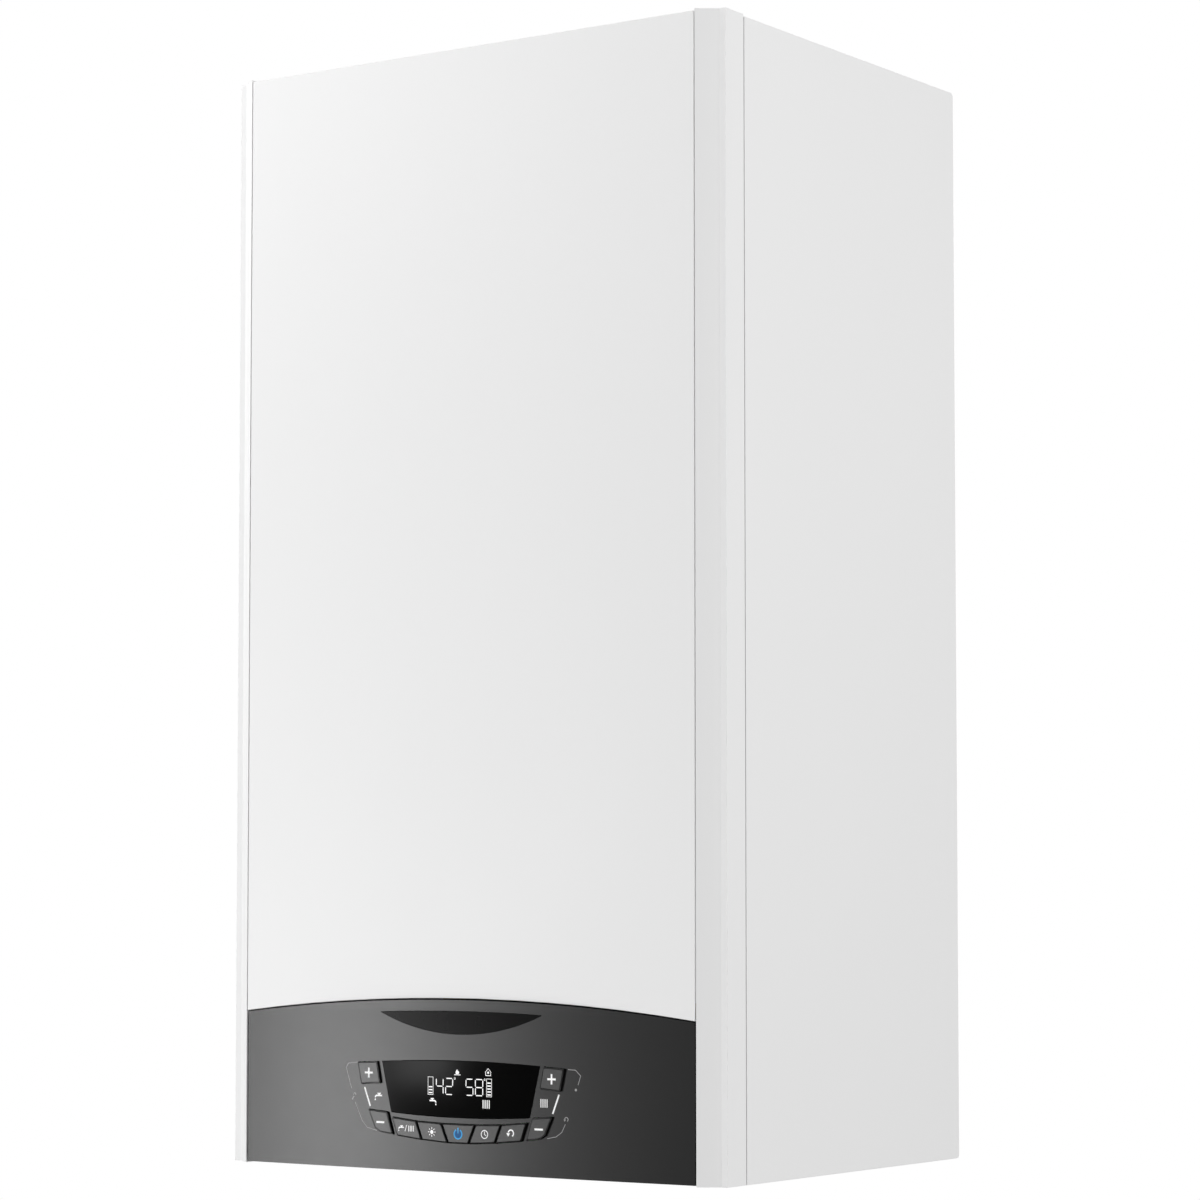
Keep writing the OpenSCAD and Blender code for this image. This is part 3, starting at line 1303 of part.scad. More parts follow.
wall_bracket();
wall_spacers();
back_frame();
left_side_panel();
right_side_panel();
top_panel();
bottom_panel();
flue_collar();
casing_screws();
front_panel();
left_corner_trim();
right_corner_trim();
air_chamber();
chamber_front();
sight_glass();
combustion_box();
insulation_boards();
burner_blades();
gas_manifold();
electrodes();
exchanger_fins();
exchanger_tubes();
flue_hood();
fan_housing();
fan_motor();
fan_impeller();
flue_duct();
air_pressure_switch();
expansion_vessel();
water_pipes();
pump_housing();
pump_motor();
pump_impeller();
air_vent();
diverter_valve();
diverter_motor();
diverter_spindle();
safety_valve();
safety_knob();
gas_valve();
gas_pipes();
gauge_body();
gauge_needle();
cable_grommets();
hinge_brackets();
fascia();
display_window();
badge_plate();
control_tray();
control_lid();
circuit_boards();
key_water_plus();
key_water_minus();
key_heating_plus();
key_heating_minus();
key_mode();
key_comfort();
key_power();
key_auto();
key_reset();
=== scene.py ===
"""The looks of a wall-hung system boiler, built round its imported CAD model."""

import json
import logging
import math
from dataclasses import dataclass, field
from enum import Enum
from typing import Any, Callable, Iterable, Sequence

import bmesh
import bpy
from mathutils import Matrix, Vector


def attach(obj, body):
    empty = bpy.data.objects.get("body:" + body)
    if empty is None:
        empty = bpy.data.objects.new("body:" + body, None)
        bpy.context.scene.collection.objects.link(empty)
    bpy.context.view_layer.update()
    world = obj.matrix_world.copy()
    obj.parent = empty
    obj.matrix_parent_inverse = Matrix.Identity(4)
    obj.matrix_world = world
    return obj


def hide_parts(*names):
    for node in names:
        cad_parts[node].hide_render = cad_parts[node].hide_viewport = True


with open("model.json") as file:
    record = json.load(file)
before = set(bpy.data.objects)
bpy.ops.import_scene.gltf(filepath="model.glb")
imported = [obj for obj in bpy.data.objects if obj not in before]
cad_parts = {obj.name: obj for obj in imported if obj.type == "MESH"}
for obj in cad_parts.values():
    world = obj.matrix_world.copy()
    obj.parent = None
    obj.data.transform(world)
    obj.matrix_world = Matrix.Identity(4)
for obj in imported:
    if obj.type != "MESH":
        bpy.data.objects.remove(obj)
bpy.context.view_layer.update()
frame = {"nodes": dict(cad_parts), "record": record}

log = logging.getLogger("boiler")

MM = 0.001
# Height of the wall screws, the frame's origin, above the casing's lower edge, in mm
HANG_Z = 700.0

Point = tuple[float, float]
Colour = tuple[float, float, float]
Spot = tuple[Vector, Vector]

# Middle of the sight glass from the front, and of the flue from above, in mm
SIGHT_AT: Point = (0.0, 426.2)
FLUE_AT: Point = (0.0, -150.0)
WHITE = (1.0, 1.0, 1.0, 1.0)
# Edges that turn by more than this, in degrees, are rounded or sharp in a copy of a CAD node
EDGE_ANGLE = 32.0
# The same for a piece that only the scene has, and for the front of the fascia
SHARP_ANGLE = 35.0

FORWARD, BACKWARD = Vector((0.0, -1.0, 0.0)), Vector((0.0, 1.0, 0.0))
UP, DOWN = Vector((0.0, 0.0, 1.0)), Vector((0.0, 0.0, -1.0))


def place(x: float, y: float, z: float) -> Vector:
    """Returns a point in metres from mm, with z above the casing's lower edge."""
    return Vector((x * MM, y * MM, (z - HANG_Z) * MM))


def in_mm(point: Vector) -> Vector:
    """Returns a point in mm, with z above the casing's lower edge."""
    return point / MM + Vector((0.0, 0.0, HANG_Z))


def on_circle(x: float, z: float, radius: float, degrees: float) -> Point:
    """Returns the point of a circle at an angle."""
    turn = math.radians(degrees)
    return x + radius * math.cos(turn), z + radius * math.sin(turn)


def evaluated(piece: bpy.types.Object) -> bpy.types.Mesh:
    """Returns the mesh of an object with its modifiers applied."""
    return bpy.data.meshes.new_from_object(piece.evaluated_get(bpy.context.evaluated_depsgraph_get()))


class Graph:
    """A short way to write a node tree."""

    def __init__(self, tree: bpy.types.NodeTree) -> None:
        """Keeps the tree that the nodes go into."""
        self.tree = tree

    def add(self, kind: str, inputs: dict[Any, Any] | None = None, **settings: Any) -> bpy.types.Node:
        """Adds a node.

        Args:
            kind: The node's type.
            inputs: Values, sockets or lists of sockets for its inputs, by name or number.
            **settings: Properties of the node.

        Returns:
            The new node.
        """
        node = self.tree.nodes.new(kind)
        for name, value in settings.items():
            setattr(node, name, value)
        for key, value in (inputs or {}).items():
            if isinstance(value, (bpy.types.NodeSocket, list)):
                for socket in value if isinstance(value, list) else [value]:
                    self.tree.links.new(socket, node.inputs[key])
            else:
                node.inputs[key].default_value = value
        return node

    def out(self, kind: str, inputs: dict[Any, Any] | None = None, **settings: Any) -> bpy.types.NodeSocket:
        """Adds a node as add does and returns its first output."""
        return self.add(kind, inputs, **settings).outputs[0]

    def math(self, operation: str, a: Any, b: Any = 0.0) -> bpy.types.NodeSocket:
        """Returns the result of one sum on two values or sockets."""
        return self.out("ShaderNodeMath", {0: a, 1: b}, operation=operation)

    def span(self, value: Any, low: float, high: float, to_low: float,
             to_high: float) -> bpy.types.NodeSocket:
        """Returns the value carried from one range to another, and held inside it."""
        return self.out("ShaderNodeMapRange", {0: value, 1: low, 2: high, 3: to_low, 4: to_high})

    def blend(self, factor: Any, a: Any, b: Any) -> bpy.types.NodeSocket:
        """Returns the colour between a and b."""
        return self.add("ShaderNodeMix", {0: factor, 6: a, 7: b}, data_type="RGBA").outputs[2]

    def noise(self, vector: Any, scale: Any, detail: float = 2.0, rough: float = 0.5) -> bpy.types.NodeSocket:
        """Returns the value of a noise texture."""
        return self.out("ShaderNodeTexNoise", {"Vector": vector, "Scale": scale, "Detail": detail,
                                               "Roughness": rough})

    def stretch(self, vector: Any, by: Colour) -> bpy.types.NodeSocket:
        """Returns the vector multiplied by three factors."""
        return self.out("ShaderNodeVectorMath", {0: vector, 1: by}, operation="MULTIPLY")


class Pattern(Enum):
    """The small-scale patterns of the finishes."""

    PEEL = "orange_peel"
    GRAIN = "moulded_grain"
    CAST = "cast_skin"
    BRUSHED = "rolled_sheet"
    SPANGLE = "zinc_spangle"
    TARNISH = "tarnish"
    HEAT = "heat_tint"
    FIBRE = "pressed_fibre"
    LAMINATE = "laminations"
    BOARD = "circuit_tracks"


class PatternBook:
    """Shader node groups, one for each pattern and two for wear, with named sockets."""

    def __init__(self) -> None:
        """Starts with no groups."""
        self._made: dict[str, bpy.types.NodeTree] = {}

    def _group(self, name: str, inputs: Sequence[str], outputs: Sequence[str],
               draw: Callable[..., Sequence[Any]]) -> bpy.types.NodeTree:
        """Builds a group once.

        Args:
            name: Name of the group.
            inputs: Names of its float inputs.
            outputs: Names of its float outputs.
            draw: Makes the nodes from the graph, the object's coordinates and the inputs.

        Returns:
            The group's tree.
        """
        if name not in self._made:
            tree = bpy.data.node_groups.new(name, "ShaderNodeTree")
            for label in inputs:
                tree.interface.new_socket(label, in_out="INPUT", socket_type="NodeSocketFloat")
            for label in outputs:
                tree.interface.new_socket(label, in_out="OUTPUT", socket_type="NodeSocketFloat")
            graph = Graph(tree)
            start = graph.add("NodeGroupInput")
            where = graph.add("ShaderNodeTexCoord").outputs["Object"]
            results = draw(graph, where, *[start.outputs[label] for label in inputs])
            graph.add("NodeGroupOutput", dict(zip(outputs, results)))
            self._made[name] = tree
        return self._made[name]

    def pattern(self, pattern: Pattern) -> bpy.types.NodeTree:
        """Returns the group that draws a pattern as a height and a tone.

        Args:
            pattern: The pattern.

        Returns:
            The group's tree.
        """
        draw = {
            Pattern.PEEL: self._peel, Pattern.GRAIN: self._grain, Pattern.CAST: self._cast,
            Pattern.BRUSHED: self._brushed, Pattern.SPANGLE: self._spangle, Pattern.TARNISH: self._tarnish,
            Pattern.HEAT: self._heat, Pattern.FIBRE: self._fibre, Pattern.LAMINATE: self._laminate,
            Pattern.BOARD: self._board,
        }[pattern]
        return self._group(pattern.value, ["Scale"], ["Height", "Tone"], draw)

    def edge(self) -> bpy.types.NodeTree:
        """Returns the group that finds the edges, where paint and plating wear thin."""
        return self._group("edge_wear", ["Radius", "Breakup"], ["Edge"], self._edge)

    def dust(self) -> bpy.types.NodeTree:
        """Returns the group that finds the faces where dust settles."""
        return self._group("settled_dust", ["Scale"], ["Dust"], self._dust)

    @staticmethod
    def _peel(g: Graph, where: Any, scale: Any) -> Sequence[Any]:
        """Draws the low waves of stoved paint."""
        return g.noise(where, scale, 2.0, 0.4), g.noise(where, g.math("MULTIPLY", scale, 0.02), 2.0)

    @staticmethod
    def _grain(g: Graph, where: Any, scale: Any) -> Sequence[Any]:
        """Draws the grain of a spark-eroded mould."""
        return g.noise(where, scale, 3.0, 0.7), g.noise(where, g.math("MULTIPLY", scale, 0.03), 3.0)

    @staticmethod
    def _cast(g: Graph, where: Any, scale: Any) -> Sequence[Any]:
        """Draws the pitted skin of a casting.

        Args:
            g: The group's graph.
            where: The object's coordinates.
            scale: Repeats in a metre.

        Returns:
            The height and the tone.
        """
        pits = g.add("ShaderNodeTexVoronoi", {"Vector": where, "Scale": scale}).outputs["Distance"]
        height = g.math("ADD", g.noise(where, scale, 5.0, 0.65), g.math("MULTIPLY", pits, 0.4))
        return height, g.span(g.noise(where, g.math("MULTIPLY", scale, 0.12), 5.0, 0.6), 0.3, 0.7, 0.0, 1.0)

    @staticmethod
    def _brushed(g: Graph, where: Any, scale: Any) -> Sequence[Any]:
        """Draws the rolling lines of sheet metal."""
        lines = g.stretch(where, (1.0, 1.0, 0.03))
        return g.noise(lines, scale, 4.0, 0.6), g.noise(lines, g.math("MULTIPLY", scale, 0.15), 4.0, 0.7)

    @staticmethod
    def _spangle(g: Graph, where: Any, scale: Any) -> Sequence[Any]:
        """Draws the crystals of hot-dip zinc.

        Args:
            g: The group's graph.
            where: The object's coordinates.
            scale: Repeats in a metre.

        Returns:
            The height and the tone.
        """
        cloud = g.add("ShaderNodeTexNoise", {"Vector": where, "Scale": scale}).outputs["Color"]
        shift = g.stretch(cloud, (0.006, 0.006, 0.006))
        warped = g.out("ShaderNodeVectorMath", {0: where, 1: shift}, operation="ADD")
        cells = g.add("ShaderNodeTexVoronoi", {"Vector": warped, "Scale": scale}).outputs["Color"]
        tone = g.out("ShaderNodeSeparateColor", {0: cells})
        return g.math("ADD", g.noise(where, 2400.0, 3.0), g.math("MULTIPLY", tone, 0.6)), tone

    @staticmethod
    def _tarnish(g: Graph, where: Any, scale: Any) -> Sequence[Any]:
        """Draws the clouds and streaks of handled copper.

        Args:
            g: The group's graph.
            where: The object's coordinates.
            scale: Repeats in a metre.

        Returns:
            The height and the tone.
        """
        cloud = g.noise(where, scale, 6.0, 0.62)
        streak = g.noise(g.stretch(where, (1.0, 1.0, 0.1)), g.math("MULTIPLY", scale, 8.0), 3.0)
        mixed = g.math("ADD", g.math("MULTIPLY", cloud, 0.7), g.math("MULTIPLY", streak, 0.3))
        return streak, g.span(mixed, 0.36, 0.66, 0.0, 1.0)

    @staticmethod
    def _heat(g: Graph, where: Any, scale: Any) -> Sequence[Any]:
        """Draws the bands of colour that heat leaves on steel.

        Args:
            g: The group's graph.
            where: The object's coordinates.
            scale: Repeats in a metre.

        Returns:
            The height and the tone.
        """
        band = g.add("ShaderNodeTexWave", {"Vector": where, "Scale": scale, "Distortion": 6.0, "Detail": 3.0},
                     bands_direction="Z").outputs["Fac"]
        return g.noise(g.stretch(where, (1.0, 1.0, 0.05)), 1500.0, 3.0), band

    @staticmethod
    def _fibre(g: Graph, where: Any, scale: Any) -> Sequence[Any]:
        """Draws short matted fibres.

        Args:
            g: The group's graph.
            where: The object's coordinates.
            scale: Repeats in a metre.

        Returns:
            The height and the tone.
        """
        warp = g.out("ShaderNodeTexNoise", {"Vector": where, "Scale": scale, "Detail": 6.0, "Roughness": 0.75,
                                            "Distortion": 2.5})
        return warp, g.span(warp, 0.3, 0.7, 0.0, 1.0)

    @staticmethod
    def _laminate(g: Graph, where: Any, scale: Any) -> Sequence[Any]:
        """Draws stacked steel sheets along the motor's shaft.

        Args:
            g: The group's graph.
            where: The object's coordinates.
            scale: Repeats in a metre.

        Returns:
            The height and the tone.
        """
        wave = g.add("ShaderNodeTexWave", {"Vector": where, "Scale": scale}, bands_direction="Y")
        lines = wave.outputs["Fac"]
        return lines, g.math("MULTIPLY", lines, g.noise(where, 300.0, 2.0))

    @staticmethod
    def _board(g: Graph, where: Any, scale: Any) -> Sequence[Any]:
        """Draws straight copper tracks under green lacquer.

        Args:
            g: The group's graph.
            where: The object's coordinates.
            scale: Repeats in a metre.

        Returns:
            The height and the tone.
        """
        cells = g.add("ShaderNodeTexVoronoi", {"Vector": where, "Scale": scale}, distance="CHEBYCHEV",
                      feature="F1").outputs["Distance"]
        rings = g.math("PINGPONG", cells, 0.11)
        track = g.span(rings, 0.07, 0.075, 0.0, 1.0)
        return track, track

    @staticmethod
    def _edge(g: Graph, where: Any, radius: Any, breakup: Any) -> Sequence[Any]:
        """Compares the true normal with a rounded one.

        Args:
            g: The group's graph.
            where: The object's coordinates.
            radius: How far the rounding reaches, in metres.
            breakup: Patches of wear in a metre.

        Returns:
            The share of wear.
        """
        rounded = g.out("ShaderNodeBevel", {"Radius": radius}, samples=4)
        flat = g.add("ShaderNodeNewGeometry").outputs["Normal"]
        likeness = g.add("ShaderNodeVectorMath", {0: rounded, 1: flat},
                         operation="DOT_PRODUCT").outputs["Value"]
        edge = g.span(likeness, 0.995, 0.86, 0.0, 1.0)
        patches = g.span(g.noise(where, breakup, 4.0, 0.7), 0.4, 0.62, 0.0, 1.0)
        return [g.math("MULTIPLY", edge, patches)]

    @staticmethod
    def _dust(g: Graph, where: Any, scale: Any) -> Sequence[Any]:
        """Finds upward faces, broken by noise.

        Args:
            g: The group's graph.
            where: The object's coordinates.
            scale: Repeats in a metre.

        Returns:
            The share of dust.
        """
        normal = g.add("ShaderNodeNewGeometry").outputs["Normal"]
        up = g.add("ShaderNodeSeparateXYZ", {0: normal}).outputs["Z"]
        return [g.math("MULTIPLY", g.span(up, 0.5, 1.0, 0.0, 1.0), g.noise(where, scale, 5.0, 0.6))]


@dataclass(frozen=True)
class Finish:
    """One finish of the boiler: its colours and how its surface is broken up.

    Lengths are in mm, and scale is the number of pattern repeats in a metre.
    """

    colour: Colour
    shade: Colour
    roughness: float
    pattern: Pattern = Pattern.GRAIN
    scale: float = 1500.0
    depth: float = 0.01
    blur: float = 0.04
    metallic: float = 0.0
    specular: float = 0.5
    coat: float = 0.0
    clear: float = 0.0
    wear: float = 0.0
    wear_colour: Colour = (0.6, 0.6, 0.6)
    dust: float = 0.0
    # Emission strength: the display's lit segments and the power lamp give their own light; on white print it
    # is a painted glow
    glow: float = 0.0


def grey(value: float) -> Colour:
    """Returns a neutral grey."""
    return (value, value, value)


FINISHES: dict[str, Finish] = {
    "white_enamel": Finish(grey(0.86), grey(0.85), 0.42, Pattern.PEEL, 420.0, 0.012, 0.02, specular=0.35),
    "white_plastic": Finish(grey(0.86), grey(0.85), 0.45, Pattern.GRAIN, 2600.0, 0.006, 0.02, specular=0.35),
    "galvanised_steel": Finish((0.64, 0.66, 0.67), (0.53, 0.55, 0.56), 0.4, Pattern.SPANGLE, 150.0, 0.01,
                               0.08, metallic=1.0, dust=0.25),
    "fascia_grey": Finish(grey(0.007), grey(0.006), 0.25, Pattern.GRAIN, 3200.0, 0.0012, 0.01, specular=0.15),
    "display_black": Finish(grey(0.0003), grey(0.0001), 0.075, Pattern.PEEL, 90.0, 0.0, 0.01, specular=0.02),
    "badge_black": Finish(grey(0.001), grey(0.0008), 0.16, Pattern.GRAIN, 3000.0, 0.001, 0.01,
                          specular=0.026),
    "key_grey": Finish(grey(0.007), grey(0.006), 0.25, Pattern.GRAIN, 3000.0, 0.002, 0.02, specular=0.18),
    "box_grey": Finish(grey(0.035), grey(0.028), 0.5, Pattern.GRAIN, 1800.0, 0.02, 0.05, wear=0.15, dust=0.3),
    "circuit_green": Finish((0.02, 0.12, 0.05), (0.10, 0.26, 0.08), 0.3, Pattern.BOARD, 90.0, 0.03, coat=0.4),
    "copper": Finish((0.86, 0.44, 0.28), (0.52, 0.21, 0.11), 0.26, Pattern.TARNISH, 28.0, 0.01, 0.1,
                     metallic=1.0),
    "brass": Finish((0.80, 0.62, 0.30), (0.58, 0.42, 0.18), 0.34, Pattern.CAST, 700.0, 0.03, 0.08,
                    metallic=1.0, wear=0.5, wear_colour=(0.9, 0.76, 0.45)),
    "steel_burner": Finish((0.62, 0.58, 0.52), (0.42, 0.30, 0.26), 0.34, Pattern.HEAT, 14.0, 0.01, 0.08,
                           metallic=1.0),
    "tinned_steel": Finish((0.74, 0.76, 0.77), (0.60, 0.62, 0.64), 0.3, Pattern.BRUSHED, 900.0, 0.01, 0.08,
                           metallic=1.0, wear=0.4, wear_colour=(0.85, 0.86, 0.87), dust=0.15),
    "ceramic_board": Finish((0.82, 0.78, 0.69), (0.66, 0.61, 0.52), 0.95, Pattern.FIBRE, 260.0, 0.3, 0.03),
    "ceramic": Finish((0.88, 0.86, 0.81), (0.80, 0.77, 0.70), 0.2, Pattern.PEEL, 500.0, 0.01, coat=0.5),
    "vessel_red": Finish((0.52, 0.028, 0.02), (0.44, 0.02, 0.015), 0.3, Pattern.PEEL, 300.0, 0.03, 0.05,
                         coat=0.2, wear=0.35, wear_colour=(0.3, 0.05, 0.04), dust=0.35),
    "black_plastic": Finish(grey(0.02), grey(0.015), 0.42, Pattern.GRAIN, 1600.0, 0.015, 0.05, dust=0.2),
    "rubber": Finish(grey(0.016), grey(0.011), 0.75, Pattern.GRAIN, 900.0, 0.03, 0.08, specular=0.3,
                     dust=0.3),
    "motor_black": Finish(grey(0.028), grey(0.02), 0.38, Pattern.CAST, 800.0, 0.05, 0.06, wear=0.3,
                          wear_colour=(0.25, 0.25, 0.26), dust=0.3),
    "fan_motor_steel": Finish((0.48, 0.47, 0.46), (0.16, 0.15, 0.15), 0.4, Pattern.LAMINATE, 320.0, 0.1, 0.08,
                              metallic=1.0),
    "aluminium_cast": Finish((0.56, 0.57, 0.58), (0.46, 0.47, 0.49), 0.58, Pattern.CAST, 600.0, 0.04, 0.06,
                             metallic=1.0, wear=0.4, wear_colour=(0.72, 0.72, 0.73), dust=0.15),
    "aluminium_wheel": Finish((0.80, 0.81, 0.82), (0.68, 0.69, 0.70), 0.3, Pattern.BRUSHED, 1200.0, 0.01,
                              0.06, metallic=1.0),
    "grey_plastic": Finish(grey(0.70), grey(0.67), 0.4, Pattern.GRAIN, 1900.0, 0.012, 0.04, dust=0.15),
    "knob_red": Finish((0.62, 0.022, 0.016), (0.52, 0.016, 0.012), 0.26, Pattern.GRAIN, 1500.0, 0.01,
                       coat=0.2),
    "needle_white": Finish(grey(0.8), grey(0.76), 0.4, Pattern.GRAIN, 2000.0, 0.004),
    "screw_zinc": Finish((0.72, 0.73, 0.70), (0.56, 0.56, 0.50), 0.28, Pattern.TARNISH, 160.0, 0.01, 0.06,
                         metallic=1.0, wear=0.4, wear_colour=(0.88, 0.88, 0.87)),
    "sight_glass": Finish(grey(0.7), grey(0.66), 0.3, Pattern.BRUSHED, 900.0, 0.01, metallic=1.0),
}

# Finishes of the pieces that only the scene has: (material slot, finish)
PRINTS: dict[str, tuple[str, Finish]] = {
    # White print brightened by a painted glow: its emission stands in for light that ink doesn't give
    "white_print_painted_glow": ("key_grey", Finish(grey(0.80), grey(0.76), 0.45, Pattern.GRAIN, 3000.0, 0.001,
                                       glow=0.25)),
    # Painted shade: the dark ring on each key's face that stands in for the shadow in the gap round the key
    "gap_shade_black": ("key_grey", Finish(grey(0.001), grey(0.001), 0.6, Pattern.GRAIN, 3000.0, 0.001,
                                      specular=0.02)),
    "grey_print": ("fascia_grey", Finish(grey(0.30), grey(0.26), 0.45, Pattern.GRAIN, 3000.0, 0.001)),
    "lit_segment": ("display_black", Finish(grey(0.75), grey(0.7), 0.4, Pattern.GRAIN, 2500.0, 0.001,
                                            glow=0.5)),
    "blue_light": ("key_grey", Finish((0.01, 0.21, 0.44), (0.01, 0.20, 0.42), 0.3, Pattern.GRAIN, 2500.0,
                                      0.001, specular=0.12, glow=0.7)),
    "blue_halo": ("key_grey", Finish((0.001, 0.05, 0.15), (0.001, 0.045, 0.14), 0.3, Pattern.GRAIN, 2500.0,
                                     0.001, specular=0.06, glow=0.7)),
    "dial_face": ("black_plastic", Finish(grey(0.014), grey(0.011), 0.6, Pattern.GRAIN, 2500.0, 0.002)),
    "dial_print": ("needle_white", Finish(grey(0.78), grey(0.74), 0.5, Pattern.GRAIN, 2500.0, 0.001)),
    "clear_glass": ("sight_glass", Finish((0.93, 0.96, 0.96), (0.90, 0.94, 0.94), 0.05, Pattern.TARNISH,
                                          60.0, 0.0, 0.03, clear=1.0)),
    # Painted shade: the sight pane is dark and opaque, standing in for the shaded closed chamber seen through
    # it
    "dark_glass_painted_shade": ("sight_glass", Finish((0.03, 0.035, 0.045), (0.02, 0.022, 0.03), 0.06, Pattern.PEEL,
                                           200.0, 0.004, 0.02, coat=0.6)),
    "red_print": ("knob_red", Finish((0.62, 0.02, 0.015), (0.55, 0.015, 0.012), 0.5, Pattern.GRAIN, 2500.0,
                                     0.001)),
    "green_print": ("circuit_green", Finish((0.03, 0.42, 0.12), (0.03, 0.38, 0.10), 0.5, Pattern.GRAIN,
                                            2500.0, 0.001)),
}


class Paintbox:
    """Makes each finish into a material, once."""

    WEAR_RADIUS = 0.9 * MM
    WEAR_BREAKUP = 240.0
    DUST_SCALE = 45.0
    DUST_COLOUR = (0.42, 0.40, 0.37, 1.0)
    DUST_ROUGHNESS = 0.4
    COAT_ROUGHNESS = 0.12

    def __init__(self) -> None:
        """Starts with an empty box."""
        self.book = PatternBook()
        self._made: dict[str, bpy.types.Material] = {}

    def finish(self, name: str) -> bpy.types.Material:
        """Returns the material of a slot or a print.

        Args:
            name: Name of the slot or print.

        Returns:
            The material.
        """
        if name not in self._made:
            finish = FINISHES[name] if name in FINISHES else PRINTS[name][1]
            self._made[name] = self._mix(name, finish)
        return self._made[name]

    def _mix(self, name: str, finish: Finish) -> bpy.types.Material:
        """Builds the nodes of one material.

        Args:
            name: The material's name.
            finish: What it looks like.

        Returns:
            The material.
        """
        material = bpy.data.materials.new(name)
        material.use_nodes = True
        material.node_tree.nodes.clear()
        g = Graph(material.node_tree)
        pattern = g.add("ShaderNodeGroup", node_tree=self.book.pattern(finish.pattern))
        pattern.inputs["Scale"].default_value = finish.scale
        tone = pattern.outputs["Tone"]
        colour = g.blend(tone, (*finish.colour, 1.0), (*finish.shade, 1.0))
        rough = g.span(tone, 0.0, 1.0, finish.roughness - finish.blur, finish.roughness + finish.blur)
        if finish.wear:
            edge = g.add("ShaderNodeGroup", node_tree=self.book.edge())
            edge.inputs["Radius"].default_value = self.WEAR_RADIUS
            edge.inputs["Breakup"].default_value = self.WEAR_BREAKUP
            colour = g.blend(g.math("MULTIPLY", edge.outputs[0], finish.wear), colour,
                             (*finish.wear_colour, 1.0))
        if finish.dust:
            dust = g.add("ShaderNodeGroup", node_tree=self.book.dust())
            dust.inputs["Scale"].default_value = self.DUST_SCALE
            film = g.math("MULTIPLY", dust.outputs[0], finish.dust)
            colour = g.blend(film, colour, self.DUST_COLOUR)
            rough = g.math("ADD", rough, g.math("MULTIPLY", film, self.DUST_ROUGHNESS))
        bump = g.add("ShaderNodeBump", {"Height": pattern.outputs["Height"], "Distance": finish.depth * MM})
        shader = g.add("ShaderNodeBsdfPrincipled", {
            "Base Color": colour, "Roughness": rough, "Normal": bump.outputs[0], "Metallic": finish.metallic,
            "Specular IOR Level": finish.specular, "Coat Weight": finish.coat,
            "Coat Roughness": self.COAT_ROUGHNESS, "Transmission Weight": finish.clear})
        # Emission: a lit part's own light, or a painted glow on a part that gives none, such as the white
        # print
        if finish.glow:
            g.tree.links.new(colour, shader.inputs["Emission Color"])
            shader.inputs["Emission Strength"].default_value = finish.glow
        g.add("ShaderNodeOutputMaterial", {"Surface": shader.outputs[0]})
        return material


